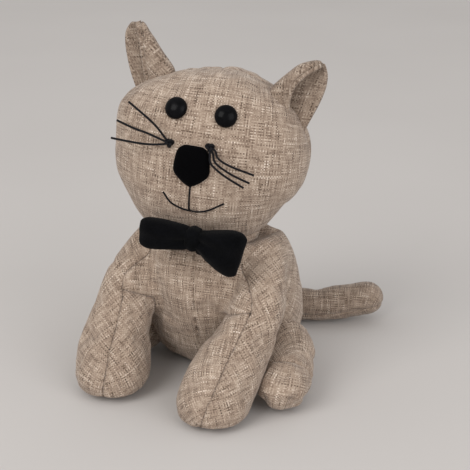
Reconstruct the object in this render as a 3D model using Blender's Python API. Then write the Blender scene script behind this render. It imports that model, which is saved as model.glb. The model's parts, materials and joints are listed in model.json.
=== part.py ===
"""A sitting fabric cat with a bow tie, built as the sewn object is: cloth panels round stuffed cores.

Frame: +Z up, the cat faces -Y, +X is the cat's left. The origin is the middle of the flat base panel.
"""

import math

import bmesh
import bpy
import numpy as np
from mathutils import Matrix, Vector
from mathutils.bvhtree import BVHTree

MM = 0.001

# Driving dimensions, in millimetres and degrees.
CLOTH = 1.0  # thickness of every cloth panel
GAP = 0.3  # room between neighbouring pieces
SEAM_HALF = 0.3  # half of the gap along a seam

# Torso rings: height, middle along Y, half width, half depth.
TORSO_RINGS = (
    (0, 10, 41, 33),
    (7, 9, 52, 43),
    (25, 5, 60, 50),
    (45, 0, 62, 53),
    (65, -7, 61, 52),
    (85, -13, 58, 47),
    (100, -18, 54, 42),
    (109, -20, 44, 35),
    (106, -20, 32, 27),
    (102, -20, 23, 23),
)
TORSO_SIDES = 24
TORSO_STEPS = 12
BASE_CUT = 1.6  # the base panel is the skin below this height
NECK_RADIUS = 21
NECK_AXIS_Y = -20
NECK_FLOOR_Z, NECK_HEIGHT = 86, 20
HEAD_PIVOT_Z = 106
NECK_ROOM = 3.6  # room between the neck plug and the head, for the nod
CHEST_SEAM = ((30, -44, 108), (49, -50, 78), (36, -14, 0))  # three points that the left seam plane passes

# Front legs: the left one reaches further forward. Rings: point, half width, half depth.
LEG_LEFT_RINGS = (
    ((40, -24, 92), 16, 17),
    ((46, -50, 72), 20, 20),
    ((39, -72, 47), 22, 21),
    ((31, -90, 25), 26, 25),
    ((27, -97, 10), 26, 26),
    ((26, -98, 0.4), 18, 19),
)
LEG_RIGHT_RINGS = (
    ((-40, -22, 95), 17, 18),
    ((-52, -42, 72), 20, 20),
    ((-55, -60, 47), 23, 22),
    ((-55, -74, 25), 27, 25),
    ((-54, -79, 10), 27, 26),
    ((-53, -80, 0.4), 18, 19),
)
LEG_SIDES = 14
LEG_STEPS = 8
LEG_FLATTENING = 0.6  # how far the ring above the sole turns level
LEG_SEAM_TWIST = {"left": -25, "right": -10}  # turns the seam plane about the leg, in degrees
SOLE_CUT = 2.4
BAG_CENTRE, BAG_HALF, BAG_SQUARE = (0, 9, 15), (30, 24, 11), 2.4  # the pellet bag low in the body
BAG_MOUTH_SHARE = 0.7  # the opening under the bag, as a share of its half depth
SMALL_SIDES, SMALL_RINGS = 16, 8  # divisions of the small rounded pieces
CYLINDER_SIDES = 20
CLEAR_THROUGH = 60  # length of a cutter that has to pass right through

# Hind feet: the middle of each toe ball, then rings from the toe back to the haunch, on the left foot.
FOOT_CENTRES = {"left": (67, -66, 17), "right": (-68, -44, 17)}
FOOT_PATH = (
    ((3, -23.5, -2), 6, 5.5),
    ((2.5, -20, -1.5), 13, 10.5),
    ((1.5, -12, -0.5), 18.5, 15),
    ((0, 0, 0), 20, 17),
    ((-3, 16, 1), 20.5, 18),
    ((-8, 34, 6), 21, 20),
    ((-13, 50, 11), 18, 19),
)
FOOT_SIDES, FOOT_STEPS = 16, 11

# Head: half sizes, how square its outline is, and how it sits.
HEAD_CENTRE = (0, -20, 163)
HEAD_HALF = (70, 48, 60)
HEAD_SQUARE = 2.25
HEAD_ROLL, HEAD_PITCH, HEAD_YAW = 5, -4, 3  # leans to its left, looks up a little, turned to its left
HEAD_SEAM_Y = 5  # the seam between the face and the back, in the head's own frame
HEAD_CHIN_SHIFT = 0.1  # the chin sags to the right by this share of its drop
HEAD_SIDES = 24
HEAD_RINGS = 14

# Face, in the head's own frame: X and Z of each feature.
EYE_X, EYE_Z = 17, 37.6
EYE_RADIUS, EYE_HEIGHT = 7.6, 6.0
EYE_STEM_RADIUS, EYE_STEM_LENGTH = 2.0, 9.0
EYE_RIM, EYE_UNDERCUT = 1.0, 0.3  # height of the eye's straight edge, and of its foot over the cloth
WASHER_RADIUS, WASHER_HEIGHT, WASHER_DEPTH = 7.0, 1.6, 2.4
WASHER_POCKET_HEIGHT = 15  # the room in the stuffing for the stem and washer
NOSE_X, NOSE_Z = -0.7, 3.5
NOSE_HALF = (12, 13.8, 5.5)
NOSE_SQUARE = 2.6
THREAD = 1.2
MOUTH_LINE = ((-0.4, -11.5), (-0.6, -20), (-0.5, -27.4))
SMILE = ((-19, -18.4), (-12.6, -25.5), (-0.5, -29), (10.7, -27.4), (23, -20))
WHISKER = 1.5
KNOT_RADIUS, KNOT_LIFT, KNOT_DIVISIONS = 3.3, 2.8, (10, 6)
KNOTS = {"left": (10.5, 17.5), "right": (-17, 16)}
# Each whisker: X, Z and height over the cheek, from the knot outwards.
WHISKER_ROUTES = {
    "left": (
        ((14.6, 15.8, 3.6), (17.2, 11.6, 5), (25, 8.3, 8), (39, 5, 11)),
        ((13.4, 13.7, 3.4), (16, 8.5, 5), (26, 3.5, 8), (37, 0, 11)),
        ((11.5, 13.0, 3.6), (13.3, 7.5, 5), (22, 2, 8), (33.5, -3.5, 11)),
    ),
    "right": (
        ((-20, 19, 4), (-25, 24, 6.5), (-31, 28, 9), (-44, 33, 12)),
        ((-21, 17, 4), (-30, 19.5, 7), (-39, 21, 11), (-48, 23, 14)),
        ((-21, 14.5, 4), (-29.5, 13, 7), (-39, 12.5, 11), (-49, 12.5, 15)),
    ),
}

# Ears, in the head's own frame.
# Each ear: middle of its base inside the head, how far up the ear the head's surface is, lean outwards.
EARS = {"left": ((47, 1, 36), 9.6, 26), "right": ((-39, 1, 43), 8.4, 34)}
EAR_HINGE_BACK = 1.5  # the fold line lies this far behind the ear's middle
EAR_HEIGHT, EAR_HALF_WIDTH = 46, 19
EAR_CURL_MEDIAL, EAR_CURL_LATERAL = 95, 40  # how far each edge curls forward, in degrees
EAR_GAP = 1.2
EAR_COLUMNS, EAR_ROWS = 10, 6
EAR_TIP_ROUND, EAR_TIP_SHARE, EAR_TAPER = 2.6, 0.97, 0.28  # the leaf's outline towards its tip

# Tail: radius, then the points of its middle line.
TAIL_ROOT = (8, 68.8, 14.6)
TAIL_POINTS = (TAIL_ROOT, (30, 70.5, 14.6), (55, 75, 14.6), (78, 84, 16), (97, 91, 19))
TAIL_RADIUS = 14.2
TAIL_SIDES = 12
TAIL_CAP_ANGLES = (35, 65, 82)  # rings of the rounded ends

# Bow tie: its middle, then for each wing its droop and its rings, from the knot outwards.
BOW_CENTRE = (4.5, -72, 119.5)
BOW_WINGS = {
    "left": (17, ((6.2, 8, 5), (12, 11, 7), (22, 15, 8.5), (31, 16.5, 7), (34, 14.5, 3.5))),
    "right": (4, ((4.8, 8, 5), (12, 9, 6.5), (22, 10, 8), (32, 10.5, 7), (36, 9, 3.5))),
}
BOW_SIDES = 16
BOW_WRAP, BOW_WRAP_SQUARE, BOW_WRAP_DIVISIONS = (4.4, 9.5, 6.5), 3.5, (12, 8)
BOW_TAB_RADIUS, BOW_TAB_ENDS = 2.6, ((4.5, -66.5, 112.6), (4.5, -50, 97))  # sews the bow to the chest

# Colours, linear RGB.
LINEN = (0.50, 0.42, 0.34, 1)
BLACK = (0.012, 0.012, 0.014, 1)


def clear_scene():
    for obj in list(bpy.data.objects):
        bpy.data.objects.remove(obj)


def material(name, colour, roughness, metallic=0.0):
    made = bpy.data.materials.new(name)
    made.use_nodes = True
    shader = made.node_tree.nodes["Principled BSDF"]
    shader.inputs["Base Color"].default_value = colour
    shader.inputs["Roughness"].default_value = roughness
    shader.inputs["Metallic"].default_value = metallic
    return made


def smooth_through(points, count):
    """Points at even steps along a smooth curve through the given rows (Catmull-Rom)."""
    rows = np.array(points, float)
    padded = np.vstack([2 * rows[0] - rows[1], rows, 2 * rows[-1] - rows[-2]])
    made = []
    for step in np.linspace(0, len(rows) - 1, count):
        i = min(int(step), len(rows) - 2)
        t = step - i
        a, b, c, d = padded[i : i + 4]
        made.append(
            0.5 * (2 * b + (c - a) * t + (2 * a - 5 * b + 4 * c - d) * t**2 + (3 * b - a - 3 * c + d) * t**3)
        )
    return np.array(made)


def new_object(name, bm, finish, parent=None):
    mesh = bpy.data.meshes.new(name)
    bm.to_mesh(mesh)
    bm.free()
    mesh.shade_smooth()
    mesh.set_sharp_from_angle(angle=math.radians(50))
    mesh.materials.append(finish)
    obj = bpy.data.objects.new(name, mesh)
    bpy.context.scene.collection.objects.link(obj)
    if parent:
        obj.parent = parent
        obj.matrix_parent_inverse = parent.matrix_world.inverted()
    return obj


def new_pivot(name, place):
    pivot = bpy.data.objects.new(name, None)
    pivot.location = Vector(place) * MM
    bpy.context.scene.collection.objects.link(pivot)
    bpy.context.view_layer.update()
    return pivot


def ring(bm, middle, along, half_side, half_front, sides):
    """One elliptic ring of vertices, square to the direction along; its wide axis lies level."""
    forward = Vector(along).normalized()
    level = Vector((1, 0, 0)) if abs(forward.x) < 0.8 else Vector((0, 1, 0))
    front = forward.cross(level).normalized()
    level = front.cross(forward).normalized()
    made = bmesh.ops.create_circle(bm, segments=sides, radius=1.0)["verts"]
    turn = Matrix((level * half_side, front * half_front, forward)).transposed().to_4x4()
    bmesh.ops.transform(bm, matrix=Matrix.Translation(Vector(middle)) @ turn, verts=made)
    return list({edge for vert in made for edge in vert.link_edges})


def loft(rings, sides):
    """A closed skin bridged over rings of (middle, along, half_side, half_front), in millimetres."""
    bm = bmesh.new()
    loops = [ring(bm, *values, sides) for values in rings]
    for low, high in zip(loops, loops[1:]):
        bmesh.ops.bridge_loops(bm, edges=low + high)
    bmesh.ops.holes_fill(bm, edges=bm.edges, sides=sides + 1)
    bmesh.ops.recalc_face_normals(bm, faces=bm.faces)
    bmesh.ops.scale(bm, vec=(MM, MM, MM), verts=bm.verts)
    return bm


def torso_skin(open_neck=False):
    rows = smooth_through(TORSO_RINGS, TORSO_STEPS)
    bm = loft([((0, y, z), (0, 0, 1), half_x, half_y) for z, y, half_x, half_y in rows], TORSO_SIDES)
    if open_neck:
        caps = [face for face in bm.faces if len(face.verts) > 4 and face.normal.z > 0]
        bmesh.ops.delete(bm, geom=caps, context="FACES_ONLY")
    return bm


def path_loft(rows, along, sides):
    return loft([(row[:3], ahead, row[3], row[4]) for row, ahead in zip(rows, along)], sides)


def leg_skin(rings):
    """A leg's closed skin along its smooth middle line; the last two rings turn to stand flat."""
    rows = smooth_through([(*point, side, front) for point, side, front in rings], LEG_STEPS)
    along = np.gradient(rows[:, :3], axis=0)
    down = np.array((0, 0, -1))
    along[-1] = down
    along[-2] += (down * np.linalg.norm(along[-2]) - along[-2]) * LEG_FLATTENING
    return path_loft(rows, along, LEG_SIDES)


def foot_skin(side, sign):
    """A hind foot's closed skin, from its toe back into the haunch."""
    centre = Vector(FOOT_CENTRES[side])
    rings = [(*(centre + Vector((x * sign, y, z))), half, front) for (x, y, z), half, front in FOOT_PATH]
    rows = smooth_through(rings, FOOT_STEPS)
    return path_loft(rows, np.gradient(rows[:, :3], axis=0), FOOT_SIDES)


def blob(half, square, sides, rings):
    """A rounded closed skin with the given half sizes: an ellipsoid when square is 2."""
    bm = bmesh.new()
    bmesh.ops.create_uvsphere(bm, u_segments=sides, v_segments=rings, radius=1.0)
    for vert in bm.verts:
        size = sum(abs(value) ** square for value in vert.co) ** (-1 / square)
        vert.co = Vector(value * size * side * MM for value, side in zip(vert.co, half))
    return bm


def small_blob(half, square, place, sides=SMALL_SIDES, rings=SMALL_RINGS):
    return placed(blob(half, square, sides, rings), place)


def cut(bm, point, normal, away=0.0):
    """Removes what lies beyond the plane, in millimetres; away moves the plane back against its normal."""
    normal = Vector(normal).normalized()
    place = (Vector(point) - normal * away) * MM
    geometry = bm.verts[:] + bm.edges[:] + bm.faces[:]
    bmesh.ops.bisect_plane(bm, geom=geometry, plane_co=place, plane_no=normal, clear_outer=True, dist=1e-6)
    return bm


def plane_of(three):
    a, b, c = (Vector(point) for point in three)
    normal = (a - b).cross(c - b).normalized()
    return b, normal if normal.x > 0 else -normal


def mirrored(vector):
    return Vector((-vector[0], vector[1], vector[2]))


def shrunk(bm, distance):
    """Moves every vertex of a closed skin inwards by a distance in millimetres."""
    bm.normal_update()
    moves = [(vert, vert.normal.copy()) for vert in bm.verts]
    for vert, normal in moves:
        vert.co -= normal * distance * MM
    return bm


def thicken(obj, thickness=CLOTH):
    """Turns a cloth surface into a panel whose outer face is that surface."""
    solid = obj.modifiers.new("cloth", "SOLIDIFY")
    solid.thickness = thickness * MM
    solid.offset = -1
    return obj


def subtract(obj, *cutters):
    for cutter in cutters:
        boolean = obj.modifiers.new("clear of " + cutter.name, "BOOLEAN")
        boolean.operation = "DIFFERENCE"
        boolean.solver = "EXACT"
        boolean.object = cutter
    return obj


def cutter(name, bm, finish):
    obj = new_object(name, bm, finish)
    obj.hide_render = True
    obj.display_type = "WIRE"
    return obj


def cylinder(radius, height, sides=CYLINDER_SIDES):
    """A closed cylinder standing on Z=0, in millimetres."""
    bm = bmesh.new()
    bmesh.ops.create_cone(
        bm,
        cap_ends=True,
        segments=sides,
        radius1=radius * MM,
        radius2=radius * MM,
        depth=height * MM,
    )
    bmesh.ops.translate(bm, vec=(0, 0, height * MM / 2), verts=bm.verts)
    return bm


def placed(bm, matrix):
    bmesh.ops.transform(bm, matrix=matrix, verts=bm.verts)
    return bm


def facing(point, normal):
    """The matrix that stands a shape made along +Z on a point, in metres, along a normal."""
    return Matrix.Translation(point) @ normal.to_track_quat("Z", "Y").to_matrix().to_4x4()


def lifted(x, y, z):
    return Matrix.Translation(Vector((x, y, z)) * MM)


def thread(name, points, diameter, finish, parent):
    """A round cord along points in metres, with a vertex about every two and a half diameters."""
    length = sum((b - a).length for a, b in zip(points, points[1:]))
    count = max(4, round(length / (2.5 * diameter * MM)))
    route = smooth_through([tuple(point) for point in points], count)
    curve = bpy.data.curves.new(name, "CURVE")
    curve.dimensions = "3D"
    curve.bevel_depth = diameter * MM / 2
    curve.bevel_resolution = 2
    curve.use_fill_caps = True
    spline = curve.splines.new("POLY")
    spline.points.add(count - 1)
    for point, place in zip(spline.points, route):
        point.co = (*place, 1)
    curve.materials.append(finish)
    obj = bpy.data.objects.new(name, curve)
    bpy.context.scene.collection.objects.link(obj)
    obj.parent = parent
    obj.matrix_parent_inverse = parent.matrix_world.inverted()


def head_matrix():
    turn = Matrix.Rotation(math.radians(HEAD_ROLL), 4, "Y")
    turn = turn @ Matrix.Rotation(math.radians(HEAD_PITCH), 4, "X")
    turn = turn @ Matrix.Rotation(math.radians(HEAD_YAW), 4, "Z")
    return Matrix.Translation(Vector(HEAD_CENTRE) * MM) @ turn


def head_skin(grow=0.0):
    """The head's closed outer skin in its own frame, grown by a distance in millimetres."""
    bm = blob([half + grow for half in HEAD_HALF], HEAD_SQUARE, HEAD_SIDES, HEAD_RINGS)
    for vert in bm.verts:
        vert.co.x += HEAD_CHIN_SHIFT * min(0.0, vert.co.z)
    return bm


class Face:
    """Finds points on the front of the head from X and Z in the head's own frame."""

    def __init__(self):
        self.place = head_matrix()
        bm = head_skin()
        bmesh.ops.transform(bm, matrix=self.place, verts=bm.verts)
        self.tree = BVHTree.FromBMesh(bm)
        bm.free()
        self.ahead = (self.place.to_3x3() @ Vector((0, 1, 0))).normalized()

    def at(self, x, z, lift=0.0):
        """(point, outward normal), with the point lifted off the surface by millimetres."""
        start = self.place @ (Vector((x, -200, z)) * MM)
        point, normal, _, _ = self.tree.ray_cast(start, self.ahead)
        return point + normal * lift * MM, normal


def build_torso(linen, stuffing, ballast):
    """The body's panels, its pocketed stuffing, and the pellet bag that keeps it sitting."""
    seam_point, seam_normal = plane_of(CHEST_SEAM)
    right_point, right_normal = mirrored(seam_point), mirrored(seam_normal)
    base_plane = ((0, 0, BASE_CUT), (0, 0, -1))

    chest = cut(torso_skin(open_neck=True), seam_point, seam_normal, SEAM_HALF)
    cut(chest, right_point, right_normal, SEAM_HALF)
    cut(chest, *base_plane, SEAM_HALF)
    thicken(new_object("chest_panel", chest, linen))

    for name, point, normal, inward in (
        ("side_panel_left", seam_point, -seam_normal, (-1, 0, 0)),
        ("side_panel_right", right_point, -right_normal, (1, 0, 0)),
    ):
        side = cut(torso_skin(open_neck=True), point, normal, SEAM_HALF)
        cut(side, (0, 0, 0), inward, SEAM_HALF)
        cut(side, *base_plane, SEAM_HALF)
        thicken(new_object(name, side, linen))

    base = cut(torso_skin(), (0, 0, BASE_CUT), (0, 0, 1), SEAM_HALF)
    thicken(new_object("base_panel", base, linen))

    core = shrunk(torso_skin(), CLOTH + GAP)
    core_object = new_object("torso_stuffing", core, stuffing)
    socket = cylinder(NECK_RADIUS + GAP, CLEAR_THROUGH)
    placed(socket, lifted(0, NECK_AXIS_Y, NECK_FLOOR_Z - GAP))
    socket_object = cutter("neck_socket_cutter", socket, stuffing)
    bag = small_blob(BAG_HALF, BAG_SQUARE, lifted(*BAG_CENTRE))
    pocket = small_blob([half + 2 * GAP for half in BAG_HALF], BAG_SQUARE, lifted(*BAG_CENTRE))
    mouth = cylinder(BAG_HALF[1] * BAG_MOUTH_SHARE, CLEAR_THROUGH)
    placed(mouth, lifted(0, BAG_CENTRE[1], BAG_CENTRE[2] - CLEAR_THROUGH))
    subtract(
        core_object,
        socket_object,
        cutter("ballast_pocket_cutter", pocket, stuffing),
        cutter("pocket_mouth_cutter", mouth, stuffing),
    )
    new_object("ballast_bag", bag, ballast)


def build_leg(side, rings, turn_out, torso_clear, linen, stuffing):
    """One front leg: outer and inner panels meeting on a seam down its front, a sole and the stuffing."""
    top, bottom = Vector(rings[1][0]), Vector(rings[-2][0])
    along = bottom - top
    seam_normal = along.cross(Vector((0, 0, 1))).normalized()
    if seam_normal.x * turn_out < 0:
        seam_normal = -seam_normal
    sole_plane = ((0, 0, SOLE_CUT), (0, 0, -1))

    seam_normal = Matrix.Rotation(math.radians(LEG_SEAM_TWIST[side]), 3, along) @ seam_normal

    for name, normal in (("outer", -seam_normal), ("inner", seam_normal)):
        panel = cut(leg_skin(rings), bottom, normal, SEAM_HALF)
        cut(panel, *sole_plane, SEAM_HALF)
        made = thicken(new_object(f"front_leg_{side}_{name}_panel", panel, linen))
        subtract(made, torso_clear)
    sole = cut(leg_skin(rings), (0, 0, SOLE_CUT), (0, 0, 1), SEAM_HALF)
    thicken(new_object(f"front_paw_{side}_sole", sole, linen))
    core = new_object(f"front_leg_{side}_stuffing", shrunk(leg_skin(rings), CLOTH + 2 * GAP), stuffing)
    subtract(core, torso_clear)
    return cutter(f"front_leg_{side}_gap_cutter", shrunk(leg_skin(rings), -GAP), linen)


def build_foot(side, sign, clear, linen, stuffing):
    """One hind foot: an upper panel, a sole and the stuffing."""
    upper = cut(foot_skin(side, sign), (0, 0, SOLE_CUT), (0, 0, -1), SEAM_HALF)
    subtract(thicken(new_object(f"hind_foot_{side}_upper", upper, linen)), *clear)
    sole = cut(foot_skin(side, sign), (0, 0, SOLE_CUT), (0, 0, 1), SEAM_HALF)
    thicken(new_object(f"hind_foot_{side}_sole", sole, linen))
    core = new_object(f"hind_foot_{side}_stuffing", shrunk(foot_skin(side, sign), CLOTH + GAP), stuffing)
    subtract(core, *clear)


def build_neck(stuffing):
    """The round neck plug that the head turns on; its domed top leaves room for the nod."""
    pivot = new_pivot("neck_pivot", (0, NECK_AXIS_Y, NECK_FLOOR_Z))
    bm = placed(cylinder(NECK_RADIUS, NECK_HEIGHT, 24), lifted(0, NECK_AXIS_Y, NECK_FLOOR_Z))
    head_clear = placed(head_skin(NECK_ROOM), head_matrix())
    plug = new_object("neck_stuffing", bm, stuffing, pivot)
    subtract(plug, cutter("head_clearance", head_clear, stuffing))
    return pivot


def turned(profile, sides=SMALL_SIDES):
    """A closed shape turned about Z from (radius, height) points in millimetres, axis to axis."""
    bm = bmesh.new()
    verts = [bm.verts.new((radius * MM, 0, height * MM)) for radius, height in profile]
    edges = [bm.edges.new(pair) for pair in zip(verts, verts[1:])]
    bmesh.ops.spin(
        bm, geom=verts + edges, cent=(0, 0, 0), axis=(0, 0, 1), angle=math.tau, steps=sides, use_merge=True
    )
    bmesh.ops.remove_doubles(bm, verts=bm.verts, dist=1e-6)
    bmesh.ops.recalc_face_normals(bm, faces=bm.faces)
    return bm


def eye_shape():
    """A domed button on a stem."""
    dome = [
        (EYE_RADIUS * math.cos(angle), EYE_RIM + (EYE_HEIGHT - EYE_RIM) * math.sin(angle))
        for angle in np.linspace(math.pi / 2, 0, 5)
    ]
    dome[0] = (0, EYE_HEIGHT)
    stem = [
        (EYE_RADIUS, EYE_UNDERCUT),
        (EYE_STEM_RADIUS, 0),
        (EYE_STEM_RADIUS, -EYE_STEM_LENGTH),
        (0, -EYE_STEM_LENGTH),
    ]
    return turned(dome + stem)


def build_face_parts(finishes, pivot, face, face_panel, core, head_clear):
    """Safety eyes with washers, the velvet nose, the stitched mouth, and whiskers knotted beside the nose."""
    plastic, velvet, cord = finishes
    for side, sign in (("left", 1), ("right", -1)):
        point, normal = face.at(EYE_X * sign, EYE_Z)
        eye_frame = facing(point + normal * GAP * MM, normal)
        new_object(f"eye_{side}", placed(eye_shape(), eye_frame), plastic, pivot)
        behind = facing(point - normal * CLEAR_THROUGH * MM / 2, normal)
        hole = placed(cylinder(EYE_STEM_RADIUS + GAP, CLEAR_THROUGH), behind)
        hole_cutter = cutter(f"eye_hole_cutter_{side}", hole, plastic)
        subtract(face_panel, hole_cutter)
        washer_place = facing(point - normal * (WASHER_DEPTH + WASHER_HEIGHT) * MM, normal)
        washer = placed(cylinder(WASHER_RADIUS, WASHER_HEIGHT, SMALL_SIDES), washer_place)
        stem_room = placed(cylinder(EYE_STEM_RADIUS + GAP / 2, CLEAR_THROUGH), behind)
        stem_cutter = cutter(f"washer_hole_cutter_{side}", stem_room, plastic)
        subtract(new_object(f"eye_washer_{side}", washer, plastic, pivot), stem_cutter)
        pocket = placed(
            cylinder(WASHER_RADIUS + GAP, WASHER_POCKET_HEIGHT),
            facing(point - normal * (EYE_STEM_LENGTH + 1) * MM, normal),
        )
        subtract(core, cutter(f"washer_pocket_cutter_{side}", pocket, plastic))

        knot_point, knot_normal = face.at(*KNOTS[side], KNOT_LIFT)
        knot = small_blob((KNOT_RADIUS,) * 3, 2.0, facing(knot_point, knot_normal), *KNOT_DIVISIONS)
        subtract(new_object(f"whisker_knot_{side}", knot, cord, pivot), head_clear)
        for number, route in enumerate(WHISKER_ROUTES[side], 1):
            points = [face.at(*place)[0] for place in route]
            thread(f"whisker_{side}_{number}", points, WHISKER, cord, pivot)

    nose_point, nose_normal = face.at(NOSE_X, NOSE_Z)
    nose = small_blob(NOSE_HALF, NOSE_SQUARE, facing_up(nose_point, nose_normal))
    subtract(new_object("nose_pad", nose, velvet, pivot), head_clear)
    lift = THREAD / 2 + 2 * GAP
    thread("mouth_centre_stitch", [face.at(x, z, lift)[0] for x, z in MOUTH_LINE], THREAD, cord, pivot)
    thread("mouth_smile_stitch", [face.at(x, z, lift)[0] for x, z in SMILE], THREAD, cord, pivot)


def facing_up(point, normal):
    """Like facing, with the shape's Y axis kept upright."""
    side = Vector((0, 0, 1)).cross(normal).normalized()
    up = normal.cross(side)
    turn = Matrix((side, up, normal)).transposed().to_4x4()
    return Matrix.Translation(point) @ turn


def build_head(linen, stuffing, face_finishes, neck):
    """The head: a face panel and two back panels round the stuffing, with the face sewn on."""
    place = head_matrix()
    pivot = new_pivot("head_pivot", (0, NECK_AXIS_Y, HEAD_PIVOT_Z))
    pivot.parent = neck
    pivot.matrix_parent_inverse = neck.matrix_world.inverted()
    bpy.context.view_layer.update()

    front = cut(head_skin(), (0, HEAD_SEAM_Y, 0), (0, 1, 0), SEAM_HALF)
    face_panel = thicken(new_object("face_panel", placed(front, place), linen, pivot))
    for name, inward in (("head_back_panel_left", (-1, 0, 0)), ("head_back_panel_right", (1, 0, 0))):
        back = cut(head_skin(), (0, HEAD_SEAM_Y, 0), (0, -1, 0), SEAM_HALF)
        cut(back, (0, 0, 0), inward, SEAM_HALF)
        thicken(new_object(name, placed(back, place), linen, pivot))
    core = new_object("head_stuffing", placed(shrunk(head_skin(), CLOTH + GAP), place), stuffing, pivot)
    head_clear = cutter("head_gap_cutter", placed(head_skin(GAP), place), linen)
    build_face_parts(face_finishes, pivot, Face(), face_panel, core, head_clear)
    return pivot, head_clear


def ear_sheet(sign, out):
    """One layer of an ear as an open sheet: a leaf whose edges curl forward, the inner edge more.

    out moves the layer backwards, square to the sheet, in millimetres.
    """
    bm = bmesh.new()
    bmesh.ops.create_grid(bm, x_segments=EAR_COLUMNS, y_segments=EAR_ROWS, size=1.0)
    for vert in bm.verts:
        across, up = vert.co.x, (vert.co.y + 1) / 2
        rounding = math.sqrt(1 - (EAR_TIP_SHARE * up) ** EAR_TIP_ROUND)
        half = EAR_HALF_WIDTH * rounding * (1 - EAR_TAPER * up)
        curl = math.radians(EAR_CURL_LATERAL if across > 0 else EAR_CURL_MEDIAL)
        radius = half / curl
        angle = abs(across) * curl
        x = math.copysign((radius + out) * math.sin(angle), across)
        y = radius - (radius + out) * math.cos(angle)
        vert.co = Vector((sign * x, -y, EAR_HEIGHT * up)) * MM
    if sign < 0:
        bmesh.ops.reverse_faces(bm, faces=bm.faces)
    return bm


def build_ear(side, sign, linen, head, head_clear):
    """One ear: a front and a back panel, on a pivot where the ear is sewn into the head's seam."""
    base, root_height, lean = EARS[side]
    place = head_matrix() @ lifted(*base) @ Matrix.Rotation(math.radians(lean * sign), 4, "Y")
    fold_line = place @ (Vector((0, EAR_HINGE_BACK, root_height)) * MM)
    pivot = new_pivot(f"ear_{side}_pivot", fold_line / MM)
    pivot.parent = head
    pivot.matrix_parent_inverse = head.matrix_world.inverted()
    bpy.context.view_layer.update()
    for name, out in (("front", -CLOTH - EAR_GAP), ("back", 0.0)):
        sheet = placed(ear_sheet(sign, out), place)
        panel = thicken(new_object(f"ear_{side}_{name}_panel", sheet, linen, pivot))
        subtract(panel, head_clear)


def build_tail(linen, stuffing):
    """The tail: an upper and a lower panel round its stuffing, swinging about the seam at the body."""
    pivot = new_pivot("tail_pivot", TAIL_ROOT)
    rings = [(point, TAIL_RADIUS, TAIL_RADIUS) for point in TAIL_POINTS]
    start, end = Vector(TAIL_POINTS[0]), Vector(TAIL_POINTS[-1])
    first, last = (Vector(TAIL_POINTS[1]) - start).normalized(), (end - Vector(TAIL_POINTS[-2])).normalized()
    for angle in TAIL_CAP_ANGLES:
        turn = math.radians(angle)
        size = TAIL_RADIUS * math.cos(turn)
        rings.insert(0, (start - first * TAIL_RADIUS * math.sin(turn), size, size))
        rings.append((end + last * TAIL_RADIUS * math.sin(turn), size, size))

    def skin():
        middles = [Vector(point) for point, _, _ in rings]
        alongs = [(b - a) for a, b in zip(middles, middles[1:])]
        alongs.append(alongs[-1])
        values = [(m, d, s, f) for m, d, (_, s, f) in zip(middles, alongs, rings)]
        return loft(values, TAIL_SIDES)

    for name, normal in (("upper", (0, 0, -1)), ("lower", (0, 0, 1))):
        half = cut(skin(), start, normal, SEAM_HALF)
        thicken(new_object(f"tail_{name}_panel", half, linen, pivot))
    new_object("tail_stuffing", shrunk(skin(), CLOTH + GAP), stuffing, pivot)


def build_bow(satin, torso_clear):
    """A ready-tied bow: two gathered wings held by a wrap, on a tab sewn to the chest."""
    for side, sign in (("left", 1), ("right", -1)):
        droop, rings = BOW_WINGS[side]
        place = lifted(*BOW_CENTRE) @ Matrix.Rotation(math.radians(droop), 4, "Y")
        values = [((x * sign, 0, 0), (sign, 0, 0), depth, height) for x, height, depth in rings]
        new_object(f"bow_wing_{side}", placed(loft(values, BOW_SIDES), place), satin)
    wrap = small_blob(BOW_WRAP, BOW_WRAP_SQUARE, lifted(*BOW_CENTRE), *BOW_WRAP_DIVISIONS)
    new_object("bow_wrap", wrap, satin)
    wrap_clear = small_blob([half + GAP for half in BOW_WRAP], BOW_WRAP_SQUARE, lifted(*BOW_CENTRE))
    high, low = (Vector(end) for end in BOW_TAB_ENDS)
    tab = cylinder(BOW_TAB_RADIUS, (low - high).length)
    tab = new_object("bow_tab", placed(tab, facing(high * MM, low - high)), satin)
    subtract(tab, torso_clear, cutter("bow_wrap_gap_cutter", wrap_clear, satin))


def main():
    clear_scene()
    linen = material("woven linen cloth", LINEN, 0.9)
    stuffing = material("polyester stuffing", (0.85, 0.85, 0.83, 1), 0.95)
    ballast = material("pellet bag cotton", (0.70, 0.68, 0.62, 1), 0.9)
    plastic = material("black plastic", (0.01, 0.01, 0.012, 1), 0.4)
    velvet = material("black velvet", (0.006, 0.006, 0.006, 1), 1.0)
    cord = material("black waxed cord", BLACK, 0.6)
    satin = material("black cotton", BLACK, 0.85)

    torso_clear = cutter("torso_gap_cutter", shrunk(torso_skin(), -GAP), linen)
    build_torso(linen, stuffing, ballast)
    for side, sign, rings in (("left", 1, LEG_LEFT_RINGS), ("right", -1, LEG_RIGHT_RINGS)):
        leg_clear = build_leg(side, rings, sign, torso_clear, linen, stuffing)
        build_foot(side, sign, (torso_clear, leg_clear), linen, stuffing)
    neck = build_neck(stuffing)
    head, head_clear = build_head(linen, stuffing, (plastic, velvet, cord), neck)
    build_ear("left", 1, linen, head, head_clear)
    build_ear("right", -1, linen, head, head_clear)
    build_tail(linen, stuffing)
    build_bow(satin, torso_clear)


main()
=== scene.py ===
# %% [markdown]
# # A sitting linen cat
# A stuffed cat is a few flat pieces of cloth, sewn edge to edge and filled until they are tight. So this
# lesson makes it the same way: first a rounded body for each stuffed part, then the filling that swells
# it, then the seams that cut it into its pieces of cloth, and last the face, the ears and the bow tie.
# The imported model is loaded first, because it says where every part is and what turns on what.

# %% The fixed frame
import json
import math

import bmesh
import bpy
import numpy as np
from mathutils import Matrix, Vector, noise
from mathutils.bvhtree import BVHTree

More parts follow.
